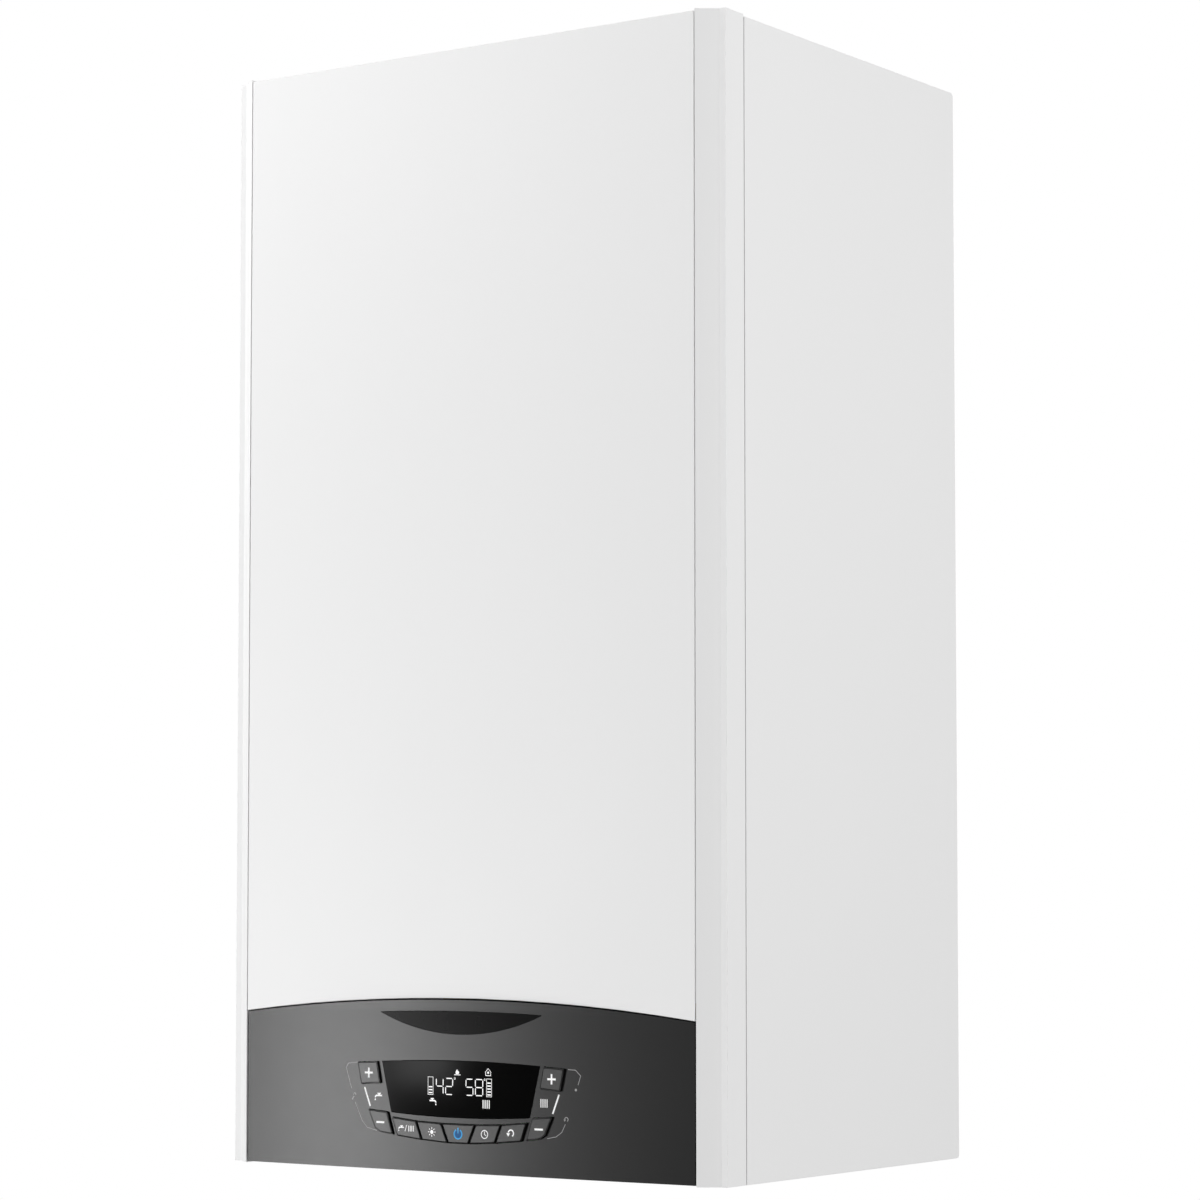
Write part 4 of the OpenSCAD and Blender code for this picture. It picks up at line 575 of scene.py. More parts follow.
class Workshop:
    """Turns meshes into finished pieces that ride on the frame."""

    BEVEL_SEGMENTS = 2
    # How near two vertices lie that are one, in metres, in a made shape and in a copy of a CAD node
    MERGE_MADE = 1e-7
    MERGE_NODE = 2e-6

    def __init__(self, homes: dict[str, str], slots: dict[str, str]) -> None:
        """Fills the paintbox.

        Args:
            homes: The body of each CAD node.
            slots: The material slot of each CAD node.
        """
        self.homes = homes
        self.slots = slots
        self.paint = Paintbox()

    def keep(self, piece: bpy.types.Object, body: str, finish: str, stands_for: Sequence[str] = ()) -> None:
        """Finishes a piece.

        Args:
            piece: The object, in place.
            body: The CAD body that it rides on.
            finish: Its material slot, or the name of a print.
            stands_for: The CAD nodes that it replaces.
        """
        piece.data.materials.clear()
        piece.data.materials.append(self.paint.finish(finish))
        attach(piece, body)
        if stands_for:
            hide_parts(*stands_for)
        log.info("%s: %s on %s", piece.name, finish, body)

    @staticmethod
    def add(name: str, mesh: bpy.types.Mesh) -> bpy.types.Object:
        """Returns a new object at the world's origin.

        Args:
            name: Name of the object.
            mesh: Its mesh, in place.

        Returns:
            The object.
        """
        piece = bpy.data.objects.new(name, mesh)
        bpy.context.scene.collection.objects.link(piece)
        return piece

    def from_bmesh(self, name: str, shape: bmesh.types.BMesh) -> bpy.types.Object:
        """Returns a smooth object made from the shape, with its faces outwards.

        Args:
            name: Name of the object.
            shape: The open shape, which is freed.

        Returns:
            The object.
        """
        bmesh.ops.remove_doubles(shape, verts=shape.verts, dist=self.MERGE_MADE)
        bmesh.ops.recalc_face_normals(shape, faces=shape.faces)
        mesh = bpy.data.meshes.new(name)
        shape.to_mesh(mesh)
        shape.free()
        mesh.polygons.foreach_set("use_smooth", [True] * len(mesh.polygons))
        return self.add(name, mesh)

    def copy_of(self, node: str, name: str,
                flatten: float = 0.15) -> tuple[bpy.types.Object, bmesh.types.BMesh]:
        """Copies a CAD node with its vertices merged.

        Args:
            node: The CAD node.
            name: Name of the copy.
            flatten: Faces that meet at a smaller angle, in degrees, become one.

        Returns:
            The new object and its open shape.
        """
        mesh = frame["nodes"][node].data.copy()
        if "custom_normal" in mesh.attributes:
            mesh.attributes.remove(mesh.attributes["custom_normal"])
        piece = self.add(name, mesh)
        shape = bmesh.new()
        shape.from_mesh(piece.data)
        bmesh.ops.remove_doubles(shape, verts=shape.verts, dist=self.MERGE_NODE)
        bmesh.ops.dissolve_limit(shape, angle_limit=math.radians(flatten), verts=shape.verts,
                                 edges=shape.edges)
        return piece, shape

    @staticmethod
    def close(piece: bpy.types.Object, shape: bmesh.types.BMesh) -> None:
        """Writes an open shape back into its object."""
        shape.to_mesh(piece.data)
        shape.free()

    def soften(self, piece: bpy.types.Object, width: float) -> None:
        """Rounds the sharp edges of an object by a width in mm.

        Args:
            piece: The object.
            width: Width of the rounding.
        """
        mesh = piece.data
        mesh.polygons.foreach_set("use_smooth", [True] * len(mesh.polygons))
        bevel = piece.modifiers.new("rounding", "BEVEL")
        bevel.width = width * MM
        bevel.segments = self.BEVEL_SEGMENTS
        bevel.limit_method = "ANGLE"
        bevel.angle_limit = math.radians(EDGE_ANGLE)
        bevel.harden_normals = True
        bevel.use_clamp_overlap = True

    def round_off(self, widths: dict[str, float]) -> None:
        """Replaces CAD nodes by copies whose edges are rounded by a width in mm.

        Args:
            widths: The width of each node's rounding.
        """
        for node, width in widths.items():
            piece, shape = self.copy_of(node, node + "_finished")
            self.close(piece, shape)
            self.soften(piece, width)
            self.keep(piece, self.homes[node], self.slots[node], [node])

    def lathe(self, name: str, profile: Sequence[Point], centre: Vector, axis: Vector,
              steps: int = 48) -> bpy.types.Object:
        """Turns a closed profile round an axis.

        Args:
            name: Name of the object.
            profile: Radius and distance along the axis of each corner, in mm.
            centre: Where the axis starts.
            axis: Direction of the axis.
            steps: Faces round the circle.

        Returns:
            The object.
        """
        shape = bmesh.new()
        turn = axis.to_track_quat("Z", "Y").to_matrix().to_4x4()
        rings = []
        for radius, height in profile:
            ring = []
            for step in range(steps if radius > 1e-6 else 1):
                angle = 2 * math.pi * step / steps
                local = Vector((radius * math.cos(angle), radius * math.sin(angle), height)) * MM
                ring.append(shape.verts.new(centre + turn @ local))
            rings.append(ring)
        for low, high in zip(rings, rings[1:] + rings[:1]):
            if len(low) == 1 and len(high) == 1:
                continue
            for step in range(steps):
                after = (step + 1) % steps
                corners = [low[step % len(low)], low[after % len(low)], high[after % len(high)],
                           high[step % len(high)]]
                unique = list(dict.fromkeys(corners))
                if len(unique) > 2:
                    shape.faces.new(unique)
        piece = self.from_bmesh(name, shape)
        piece.data.set_sharp_from_angle(angle=math.radians(SHARP_ANGLE))
        return piece


@dataclass(frozen=True)
class Softbox:
    """A square lamp that looks at the boiler. Angles are in degrees and lengths in metres."""

    name: str
    azimuth: float
    elevation: float
    distance: float
    width: float
    height: float
    radiance: float

    def build(self, target: Vector) -> None:
        """Hangs the lamp so that it faces the target.

        Args:
            target: The point that the lamp looks at.
        """
        turn, lift = math.radians(self.azimuth), math.radians(self.elevation)
        away = Vector((math.sin(turn) * math.cos(lift), -math.cos(turn) * math.cos(lift), math.sin(lift)))
        lamp = bpy.data.lights.new(self.name, "AREA")
        lamp.shape = "RECTANGLE"
        lamp.size, lamp.size_y = self.width, self.height
        lamp.energy = self.radiance * math.pi * self.width * self.height
        holder = bpy.data.objects.new(self.name, lamp)
        bpy.context.scene.collection.objects.link(holder)
        holder.location = target + away * self.distance
        holder.rotation_euler = (-away).to_track_quat("-Z", "Y").to_euler()


@dataclass
class Studio:
    """The camera, the lamps, the pale world and the floor."""

    target: Vector = field(default_factory=lambda: Vector((0.0, -0.16, -0.33)))
    camera_at: Vector = field(default_factory=lambda: Vector((1.4177, -2.2221, -0.5116)))
    camera_tilt: float = 93.543
    camera_turn: float = 34.471
    lens: float = 108.46
    sensor: float = 36.0
    shift: float = 0.0507
    ambient: float = 0.41
    floor_z: float = -2.75
    floor_size: float = 20.0
    fade: Point = (3.0, 9.4)
    floor_glow: float = 0.35
    floor_greys: tuple[float, float] = (0.93, 0.90)
    softboxes: tuple[Softbox, ...] = (
        Softbox("strip_left", -40.2, -9.5, 3.0, 0.31, 0.75, 36.0),
        Softbox("key_above", -50.0, 36.0, 1.7, 1.1, 1.1, 3.0),
        Softbox("fill_right", 78.0, 12.0, 2.4, 1.2, 2.0, 3.7),
        Softbox("glint_window", -35.9, -8.0, 3.1, 0.08, 0.08, 32.0),
    )

    def build(self) -> None:
        """Sets up the whole studio."""
        self._camera()
        self._world()
        self._floor()
        for softbox in self.softboxes:
            softbox.build(self.target)
        bpy.context.scene.view_settings.view_transform = "Standard"

    def _camera(self) -> None:
        """Puts the camera where the photograph was taken from."""
        lens = bpy.data.cameras.new("camera")
        lens.lens, lens.sensor_width, lens.shift_y = self.lens, self.sensor, self.shift
        camera = bpy.data.objects.new("camera", lens)
        camera.location = self.camera_at
        camera.rotation_euler = (math.radians(self.camera_tilt), 0.0, math.radians(self.camera_turn))
        bpy.context.scene.collection.objects.link(camera)
        bpy.context.scene.camera = camera

    def _world(self) -> None:
        """Shows white to the camera and in reflections, and a plain level to everything else."""
        world = bpy.data.worlds.new("studio")
        world.use_nodes = True
        world.node_tree.nodes.clear()
        g = Graph(world.node_tree)
        path = g.add("ShaderNodeLightPath").outputs
        seen = g.math("MAXIMUM", path["Is Camera Ray"], path["Is Glossy Ray"])
        seen = g.math("MAXIMUM", seen, path["Is Transmission Ray"])
        strength = g.span(seen, 0.0, 1.0, self.ambient, 1.0)
        sky = g.add("ShaderNodeBackground", {"Color": WHITE, "Strength": strength})
        g.add("ShaderNodeOutputWorld", {"Surface": sky.outputs[0]})
        bpy.context.scene.world = world

    def _floor(self) -> None:
        """Lays the pale floor far below the hanging boiler, fading to white with distance."""
        shape = bmesh.new()
        bmesh.ops.create_grid(shape, x_segments=1, y_segments=1, size=self.floor_size / 2)
        mesh = bpy.data.meshes.new("floor")
        shape.to_mesh(mesh)
        shape.free()
        floor = Workshop.add("floor", mesh)
        floor.location.z = self.floor_z
        material = bpy.data.materials.new("pale_floor")
        material.use_nodes = True
        material.node_tree.nodes.clear()
        g = Graph(material.node_tree)
        where = g.add("ShaderNodeTexCoord").outputs["Object"]
        colour = g.blend(g.noise(where, 1.5, 3.0), *[(*grey(value), 1.0) for value in self.floor_greys])
        paint = g.add("ShaderNodeBsdfPrincipled", {"Base Color": colour, "Roughness": 0.9,
                                                   "Specular IOR Level": 0.1})
        lift = g.add("ShaderNodeEmission", {"Color": WHITE})
        away = g.add("ShaderNodeVectorMath", {0: where}, operation="LENGTH").outputs["Value"]
        glow = g.span(away, *self.fade, self.floor_glow, 1.0)
        share = g.math("MULTIPLY", g.add("ShaderNodeLightPath").outputs["Is Camera Ray"], glow)
        mixed = g.add("ShaderNodeMixShader", {0: share, 1: paint.outputs[0], 2: lift.outputs[0]})
        g.add("ShaderNodeOutputMaterial", {"Surface": mixed.outputs[0]})
        mesh.materials.append(material)


Lay = Callable[[float, float, float], Vector]

# Points of an outline that lie nearer than this, in mm, are one
SAME_POINT = 0.02
# The least divisor at a mitred corner of an outline and of a line, which keeps a sharp one short
RIM_MITRE, LINE_MITRE = 0.3, 0.4


def shrunk(rim: Sequence[Point], inset: float) -> list[Point]:
    """Returns a closed outline drawn inwards, in mm, with its corners kept.

    Args:
        rim: The outline.
        inset: How far inwards it is drawn.

    Returns:
        The inner outline.
    """
    area = sum(a[0] * b[1] - b[0] * a[1] for a, b in zip(rim, [*rim[1:], rim[0]]))
    path = [Vector(point) for point in (rim if area > 0 else rim[::-1])]
    path = [p for i, p in enumerate(path) if (p - path[i - 1]).length > SAME_POINT]
    result = []
    for i, point in enumerate(path):
        before = (point - path[i - 1]).normalized()
        after = (path[(i + 1) % len(path)] - point).normalized()
        inwards = Vector((-before.y, before.x)) + Vector((-after.y, after.x))
        result.append(tuple(point + inwards * (inset / max(RIM_MITRE, 1 + before.dot(after)))))
    return result


def facing(surface: Callable[[float], float]) -> Lay:
    """Returns how a print lies on a face that looks forwards, from the depth of the face at x."""
    return lambda x, z, lift: place(x, surface(x) - lift, z)


class Stencil:
    """Flat shapes printed on a face. Points are (x, z) in mm."""

    THICK = 0.05
    # The lit segments of each digit, a to f clockwise from the top and g in the middle
    SEGMENTS = {0: "abcdef", 1: "bc", 2: "abged", 3: "abgcd", 4: "fgbc", 5: "afgcd", 6: "afgedc", 7: "abc",
                8: "abcdefg", 9: "abcdfg"}
    SEGMENT_W = 0.64
    SEGMENT_GAP = 0.42
    RADIATOR_BARS = 4
    # Outlines of the signs: tap and drop in sixths of the width, flame in heights, house in half widths
    TAP = [(3.0, 0.2), (3.0, 1.2), (1.2, 1.2), (1.2, 1.7), (2.0, 1.7), (2.0, 2.4), (-0.8, 2.4), (-0.8, 1.7),
           (0.0, 1.7), (0.0, 1.2), (-1.6, 1.2), (-2.6, 0.6), (-3.0, -0.6), (-2.0, -0.6), (-1.7, 0.1),
           (-1.2, 0.2)]
    DROP = [(-2.5, -1.0), (-2.0, -1.9), (-2.2, -2.4), (-2.5, -2.5), (-2.8, -2.4), (-3.0, -1.9)]
    FLAME = [(-0.30, 0.0), (0.30, 0.0), (0.46, 0.22), (0.42, 0.48), (0.26, 0.70), (0.20, 0.50), (0.06, 0.72),
             (0.02, 1.0), (-0.20, 0.78), (-0.36, 0.52), (-0.46, 0.26)]
    HOUSE = [(-1.0, -0.1), (-0.78, -0.1), (-0.78, -0.86), (0.78, -0.86), (0.78, -0.1), (1.0, -0.1),
             (0.0, 0.92)]

    def __init__(self, name: str, lay: Lay) -> None:
        """Starts an empty stencil.

        Args:
            name: Name of the piece that it becomes.
            lay: Gives the place of a point from x, z and its height over the face.
        """
        self.name = name
        self.lay = lay
        self.loops: list[list[Point]] = []
        self.figures: list[tuple[str, float, float, float]] = []

    def figure(self, text: str, x: float, z: float, size: float) -> None:
        """Adds a number with its middle at x, z."""
        self.figures.append((text, x, z, size))

    def loop(self, points: Iterable[Point]) -> None:
        """Adds one closed outline, or a hole where it lies inside another."""
        self.loops.append([(float(x), float(z)) for x, z in points])

    def bar(self, x0: float, z0: float, x1: float, z1: float) -> None:
        """Adds an upright rectangle."""
        self.loop([(x0, z0), (x1, z0), (x1, z1), (x0, z1)])

    def disc(self, x: float, z: float, radius: float, steps: int = 28) -> None:
        """Adds a circle."""
        self.loop([on_circle(x, z, radius, 360 * i / steps) for i in range(steps)])

    def ring(self, x: float, z: float, radius: float, width: float) -> None:
        """Adds a ring of a width."""
        self.disc(x, z, radius + width / 2)
        self.disc(x, z, radius - width / 2)

    def arc(self, x: float, z: float, radius: float, width: float, start: float, end: float) -> None:
        """Adds part of a ring, from one angle to another in degrees.

        Args:
            x: Across, in mm.
            z: Up, in mm.
            radius: Radius of the middle of the ring.
            width: Width of the ring.
            start: Angle at one end.
            end: Angle at the other end.
        """
        steps = max(6, int(abs(end - start) / 9))
        angles = [start + (end - start) * i / steps for i in range(steps + 1)]
        rim, hub = ([on_circle(x, z, radius + side * width / 2, a) for a in angles] for side in (1, -1))
        self.loop(rim + hub[::-1])

    def line(self, points: Sequence[Point], width: float) -> None:
        """Adds a line of a width through the points, with mitred corners.

        Args:
            points: The points.
            width: Width of the line in mm.
        """
        path = [Vector(point) for point in points]
        left, right = [], []
        for i, point in enumerate(path):
            before = (point - path[i - 1]).normalized() if i else (path[1] - point).normalized()
            after = (path[i + 1] - point).normalized() if i + 1 < len(path) else before
            mean = (before + after).normalized()
            normal = Vector((-mean.y, mean.x)) * (width / 2 / max(LINE_MITRE, mean.dot(after)))
            left.append(tuple(point + normal))
            right.append(tuple(point - normal))
        self.loop(left + right[::-1])

    def plus(self, x: float, z: float, reach: float, width: float) -> None:
        """Adds a plus sign.

        Args:
            x: Across, in mm.
            z: Up, in mm.
            reach: Length of an arm from the middle.
            width: Width of an arm.
        """
        r, w = reach, width / 2
        self.loop([(x - r, z - w), (x - w, z - w), (x - w, z - r), (x + w, z - r), (x + w, z - w),
                   (x + r, z - w), (x + r, z + w), (x + w, z + w), (x + w, z + r), (x - w, z + r),
                   (x - w, z + w), (x - r, z + w)])

    def digit(self, number: int, x0: float, z0: float, x1: float, z1: float) -> None:
        """Adds a seven-segment digit that fills a rectangle.

        Args:
            number: The digit.
            x0: Left of the rectangle.
            z0: Its foot.
            x1: Its right.
            z1: Its top.
        """
        h, gap, mid = self.SEGMENT_W / 2, self.SEGMENT_GAP, (z0 + z1) / 2
        flat = {"a": z1 - h, "g": mid, "d": z0 + h}
        upright = {"f": (x0 + h, mid, z1 - h), "b": (x1 - h, mid, z1 - h), "e": (x0 + h, z0 + h, mid),
                   "c": (x1 - h, z0 + h, mid)}
        for name in self.SEGMENTS[number]:
            if name in flat:
                z, a, b = flat[name], x0 + h + gap, x1 - h - gap
                self.loop([(a, z), (a + h, z - h), (b - h, z - h), (b, z), (b - h, z + h), (a + h, z + h)])
            else:
                x, low, high = upright[name]
                a, b = low + gap, high - gap
                self.loop([(x, a), (x + h, a + h), (x + h, b - h), (x, b), (x - h, b - h), (x - h, a + h)])

    def radiator(self, x: float, z: float, width: float, height: float) -> None:
        """Adds the upright bars of a radiator with its middle at x, z.

        Args:
            x: Across, in mm.
            z: Up, in mm.
            width: Width of the sign.
            height: Height of the sign.
        """
        step = width / self.RADIATOR_BARS
        for i in range(self.RADIATOR_BARS):
            left = x - width / 2 + i * step
            self.bar(left + step * 0.3, z - height / 2, left + step * 0.7, z + height / 2)

    def tap(self, x: float, z: float, size: float, side: int = 1) -> None:
        """Adds a water tap with a drop, its middle at x, z.

        Args:
            x: Across, in mm.
            z: Up, in mm.
            size: Width of the sign.
            side: 1 with the spout on the left, or -1.
        """
        for shape in (self.TAP, self.DROP):
            self.loop([(x + side * px * size / 6, z + pz * size / 6) for px, pz in shape])

    def flame(self, x: float, z: float, size: float) -> None:
        """Adds a flame with its foot at x, z.

        Args:
            x: Across, in mm.
            z: Up, in mm.
            size: Height of the flame.
        """
        self.loop([(x + px * size, z + pz * size) for px, pz in self.FLAME])

    def house(self, x: float, z: float, size: float) -> None:
        """Adds the outline of a house with a dot in it, its middle at x, z.

        Args:
            x: Across, in mm.
            z: Up, in mm.
            size: Width of the sign.
        """
        for s in (size / 2, size / 2 - 0.5):
            self.loop([(x + px * s, z + pz * s) for px, pz in self.HOUSE])
        self.disc(x, z - 0.3, size * 0.13, 16)

    def arrow(self, x: float, z: float, size: float) -> None:
        """Adds an arrow that turns back on itself, its middle at x, z.

        Args:
            x: Across, in mm.
            z: Up, in mm.
            size: Width of the arrow's turn.
        """
        r = size / 2
        self.arc(x, z, r, size * 0.2, -60, 170)
        tip = (x - r, z - 0.55 * size)
        self.loop([tip, (x - r + 0.34 * size, z), (x - r - 0.34 * size, z)])

    def _flat(self, curve: bpy.types.Curve) -> bpy.types.Mesh:
        """Returns the mesh of a flat curve or a text.

        Args:
            curve: The curve or text, in mm.

        Returns:
            The mesh.
        """
        holder = bpy.data.objects.new(self.name, curve)
        bpy.context.scene.collection.objects.link(holder)
        mesh = evaluated(holder)
        bpy.data.objects.remove(holder)
        return mesh

    def piece(self) -> bpy.types.Object:
        """Returns the shapes as one thin object that follows the face.

        Returns:
            The object, without a finish.
        """
        shape = bmesh.new()
        if self.loops:
            curve = bpy.data.curves.new(self.name, "CURVE")
            curve.dimensions, curve.fill_mode, curve.extrude = "2D", "BOTH", self.THICK / 2
            for points in self.loops:
                spline = curve.splines.new("POLY")
                spline.points.add(len(points) - 1)
                for target, (x, z) in zip(spline.points, points):
                    target.co = (x, z, 0.0, 1.0)
                spline.use_cyclic_u = True
            shape.from_mesh(self._flat(curve))
        for text, x, z, size in self.figures:
            words = bpy.data.curves.new(self.name, "FONT")
            words.body, words.size, words.extrude = text, size, self.THICK / 2
            words.align_x, words.align_y, words.resolution_u = "CENTER", "CENTER", 4
            mesh = self._flat(words)
            mesh.transform(Matrix.Translation((x, z, 0.0)))
            shape.from_mesh(mesh)
        for vertex in shape.verts:
            x, z, lift = vertex.co
            vertex.co = self.lay(x, z, lift + self.THICK / 4)
        mesh = bpy.data.meshes.new(self.name)
        shape.to_mesh(mesh)
        shape.free()
        return Workshop.add(self.name, mesh)


class Repeater:
    """Geometry Nodes trees for what repeats, which put a shape on every point, turned to its aim."""

    def __init__(self) -> None:
        """Starts with no trees."""
        self._trees: dict[str, bpy.types.NodeTree] = {}

    def _tree(self, name: str, sizes: Sequence[str], counts: Sequence[str],
              draw: Callable[..., Any]) -> bpy.types.NodeTree:
        """Builds a tree once.

        Args:
            name: Name of the tree.
            sizes: Names of its lengths and angles.
            counts: Names of its whole numbers.
            draw: Makes the geometry of one shape from the graph and the inputs.

        Returns:
            The tree.
        """
        if name not in self._trees:
            tree = bpy.data.node_groups.new(name, "GeometryNodeTree")
            kinds = [("Points", "NodeSocketGeometry"), *[(label, "NodeSocketFloat") for label in sizes],
                     *[(label, "NodeSocketInt") for label in counts], ("Loose Turn", "NodeSocketFloat"),
                     ("Seed", "NodeSocketInt"), ("Finish", "NodeSocketMaterial")]
            for label, kind in kinds:
                tree.interface.new_socket(label, in_out="INPUT", socket_type=kind)
            tree.interface.new_socket("Shapes", in_out="OUTPUT", socket_type="NodeSocketGeometry")
            g = Graph(tree)
            start = g.add("NodeGroupInput").outputs
            shape = draw(g, *[start[label] for label in (*sizes, *counts)])
            aim = g.out("GeometryNodeInputNamedAttribute", {"Name": "aim"}, data_type="FLOAT_VECTOR")
            aimed = g.out("FunctionNodeAlignRotationToVector", {"Vector": aim}, axis="Z")
            chance = g.add("FunctionNodeRandomValue", {3: start["Loose Turn"], "Seed": start["Seed"]})
            spin = g.out("FunctionNodeAxisAngleToRotation", {"Axis": UP, "Angle": chance.outputs[1]})
            turn = g.out("FunctionNodeRotateRotation", {0: aimed, 1: spin}, rotation_space="LOCAL")
            spread = g.out("GeometryNodeInstanceOnPoints", {"Points": start["Points"], "Instance": shape,
                                                            "Rotation": turn})
            real = g.out("GeometryNodeRealizeInstances", {0: spread})
            done = g.out("GeometryNodeSetMaterial", {"Geometry": real, "Material": start["Finish"]})
            g.add("NodeGroupOutput", {"Shapes": done})
            self._trees[name] = tree
        return self._trees[name]

    def screws(self) -> bpy.types.NodeTree:
        """Returns the tree of pan-head screws with a cross recess."""
        return self._tree("cross_screws", ["Head Radius", "Head Height", "Recess Width", "Recess Depth",
                                           "Shank Radius", "Shank Length"], [], self._screw)

    def threads(self) -> bpy.types.NodeTree:
        """Returns the tree of pipe threads."""
        return self._tree("pipe_threads", ["Root Radius", "Ridge", "Pitch", "Length"], [], self._thread)

    def spokes(self) -> bpy.types.NodeTree:
        """Returns the tree of bars that stand round a centre, such as ribs and ticks."""
        return self._tree("spokes", ["Radius", "Start", "Sweep", "Reach", "Width", "Depth"], ["Count"],
                          self._spoke)

    def nuts(self) -> bpy.types.NodeTree:
        """Returns the tree of hexagon nuts with chamfered corners."""
        return self._tree("hexagon_nuts", ["Radius", "Height"], [], self._nut)

    @staticmethod
    def _screw(g: Graph, radius: Any, height: Any, width: Any, depth: Any, shank: Any, length: Any) -> Any:
        """Rounds a short cylinder over, cuts the cross and adds the shank.

        Args:
            g: The tree's graph.
            radius: Radius of the head.
            height: Height of the head.
            width: Width of the recess.
            depth: Depth of the recess.
            shank: Radius of the shank.
            length: Length of the shank.

        Returns:
            One screw.
        """
        drum = g.out("GeometryNodeMeshCylinder", {"Vertices": 28, "Side Segments": 5, "Radius": radius,
                                                  "Depth": height})
        at = g.out("GeometryNodeInputPosition")
        level = g.math("DIVIDE", g.add("ShaderNodeSeparateXYZ", {0: at}).outputs[2], height)
        share = g.math("POWER", g.math("ADD", level, 0.5), 3.0)
        narrow = g.math("SUBTRACT", 1.0, g.math("MULTIPLY", share, 0.34))
        scale = g.out("ShaderNodeCombineXYZ", {0: narrow, 1: narrow, 2: 1.0})
        lift = g.out("ShaderNodeCombineXYZ", {2: g.math("MULTIPLY", height, 0.5)})
        head = g.out("GeometryNodeSetPosition", {"Geometry": drum, "Position": g.stretch(at, scale),
                                                 "Offset": lift})
        top = g.out("ShaderNodeCombineXYZ", {2: height})
        reach, deep = g.math("MULTIPLY", radius, 1.1), g.math("MULTIPLY", depth, 2.0)
        cutters = []
        for sides in ({0: reach, 1: width, 2: deep}, {0: width, 1: reach, 2: deep}):
            cube = g.out("GeometryNodeMeshCube", {"Size": g.out("ShaderNodeCombineXYZ", sides)})
            cutters.append(g.out("GeometryNodeTransform", {"Geometry": cube, "Translation": top}))
        cut = g.out("GeometryNodeMeshBoolean", {"Mesh 1": head, "Mesh 2": cutters}, operation="DIFFERENCE")
        rod = g.out("GeometryNodeMeshCylinder", {"Vertices": 16, "Radius": shank, "Depth": length})
        sink = g.out("ShaderNodeCombineXYZ", {2: g.math("MULTIPLY", length, -0.49)})
        rod = g.out("GeometryNodeTransform", {"Geometry": rod, "Translation": sink})
        return g.out("GeometryNodeJoinGeometry", {0: [rod, cut]})

    @staticmethod
    def _thread(g: Graph, root: Any, ridge: Any, pitch: Any, length: Any) -> Any:
        """Sweeps a four-sided ridge along a helix.

        Args:
            g: The tree's graph.
            root: Radius at the foot of the ridge.
            ridge: Height of the ridge.
            pitch: Rise of one turn.
            length: Length of the thread.

        Returns:
            One thread.
        """
        helix = g.out("GeometryNodeCurveSpiral", {
            "Resolution": 32, "Rotations": g.math("DIVIDE", length, pitch), "Start Radius": root,
            "End Radius": root, "Height": length})
        upright = g.out("GeometryNodeSetCurveNormal", {"Curve": helix}, mode="Z_UP")
        edge = g.out("GeometryNodeCurvePrimitiveCircle", {"Resolution": 4, "Radius": ridge})
        return g.out("GeometryNodeCurveToMesh", {"Curve": upright, "Profile Curve": edge, "Fill Caps": True})

    @staticmethod
    def _spoke(g: Graph, radius: Any, start: Any, sweep: Any, reach: Any, width: Any, depth: Any,
               count: Any) -> Any:
        """Stands bars on the points of an arc, each along its own radius.

        Args:
            g: The tree's graph.
            radius: Radius of the arc.
            start: Its first angle.
            sweep: The angle that it covers.
            reach: Length of a bar along the radius.
            width: Width of a bar.
            depth: Thickness of a bar.
            count: Number of bars.

        Returns:
            The ring of bars.
        """
        arc = g.out("GeometryNodeCurveArc", {"Resolution": count, "Radius": radius, "Start Angle": start,
                                             "Sweep Angle": sweep})
        size = g.out("ShaderNodeCombineXYZ", {0: reach, 1: width, 2: depth})
        bar = g.out("GeometryNodeMeshCube", {"Size": size})
        out = g.out("GeometryNodeInputPosition")
        turn = g.out("FunctionNodeAlignRotationToVector", {"Vector": out}, axis="X", pivot_axis="Z")
        return g.out("GeometryNodeInstanceOnPoints", {"Points": arc, "Instance": bar, "Rotation": turn})

    @staticmethod
    def _nut(g: Graph, radius: Any, height: Any) -> Any:
        """Cuts the corners of a hexagonal block with a round one that narrows to its ends.

        Args:
            g: The tree's graph.
            radius: Radius over the corners.
            height: Height.

        Returns:
            One nut.
        """
        block = g.out("GeometryNodeMeshCylinder", {"Vertices": 6, "Radius": radius, "Depth": height})
        round_one = g.out("GeometryNodeMeshCylinder", {
            "Vertices": 36, "Side Segments": 6, "Radius": radius, "Depth": g.math("MULTIPLY", height, 1.02)})
        at = g.out("GeometryNodeInputPosition")
        rise = g.add("ShaderNodeSeparateXYZ", {0: at}).outputs[2]
        level = g.math("ABSOLUTE", g.math("DIVIDE", rise, height))
        narrow = g.math("SUBTRACT", 1.01, g.math("MULTIPLY", g.math("POWER", level, 3.0), 1.0))
        scale = g.out("ShaderNodeCombineXYZ", {0: narrow, 1: narrow, 2: 1.0})
        barrel = g.out("GeometryNodeSetPosition", {"Geometry": round_one, "Position": g.stretch(at, scale)})
        return g.out("GeometryNodeMeshBoolean", {"Mesh 2": [block, barrel]}, operation="INTERSECT")

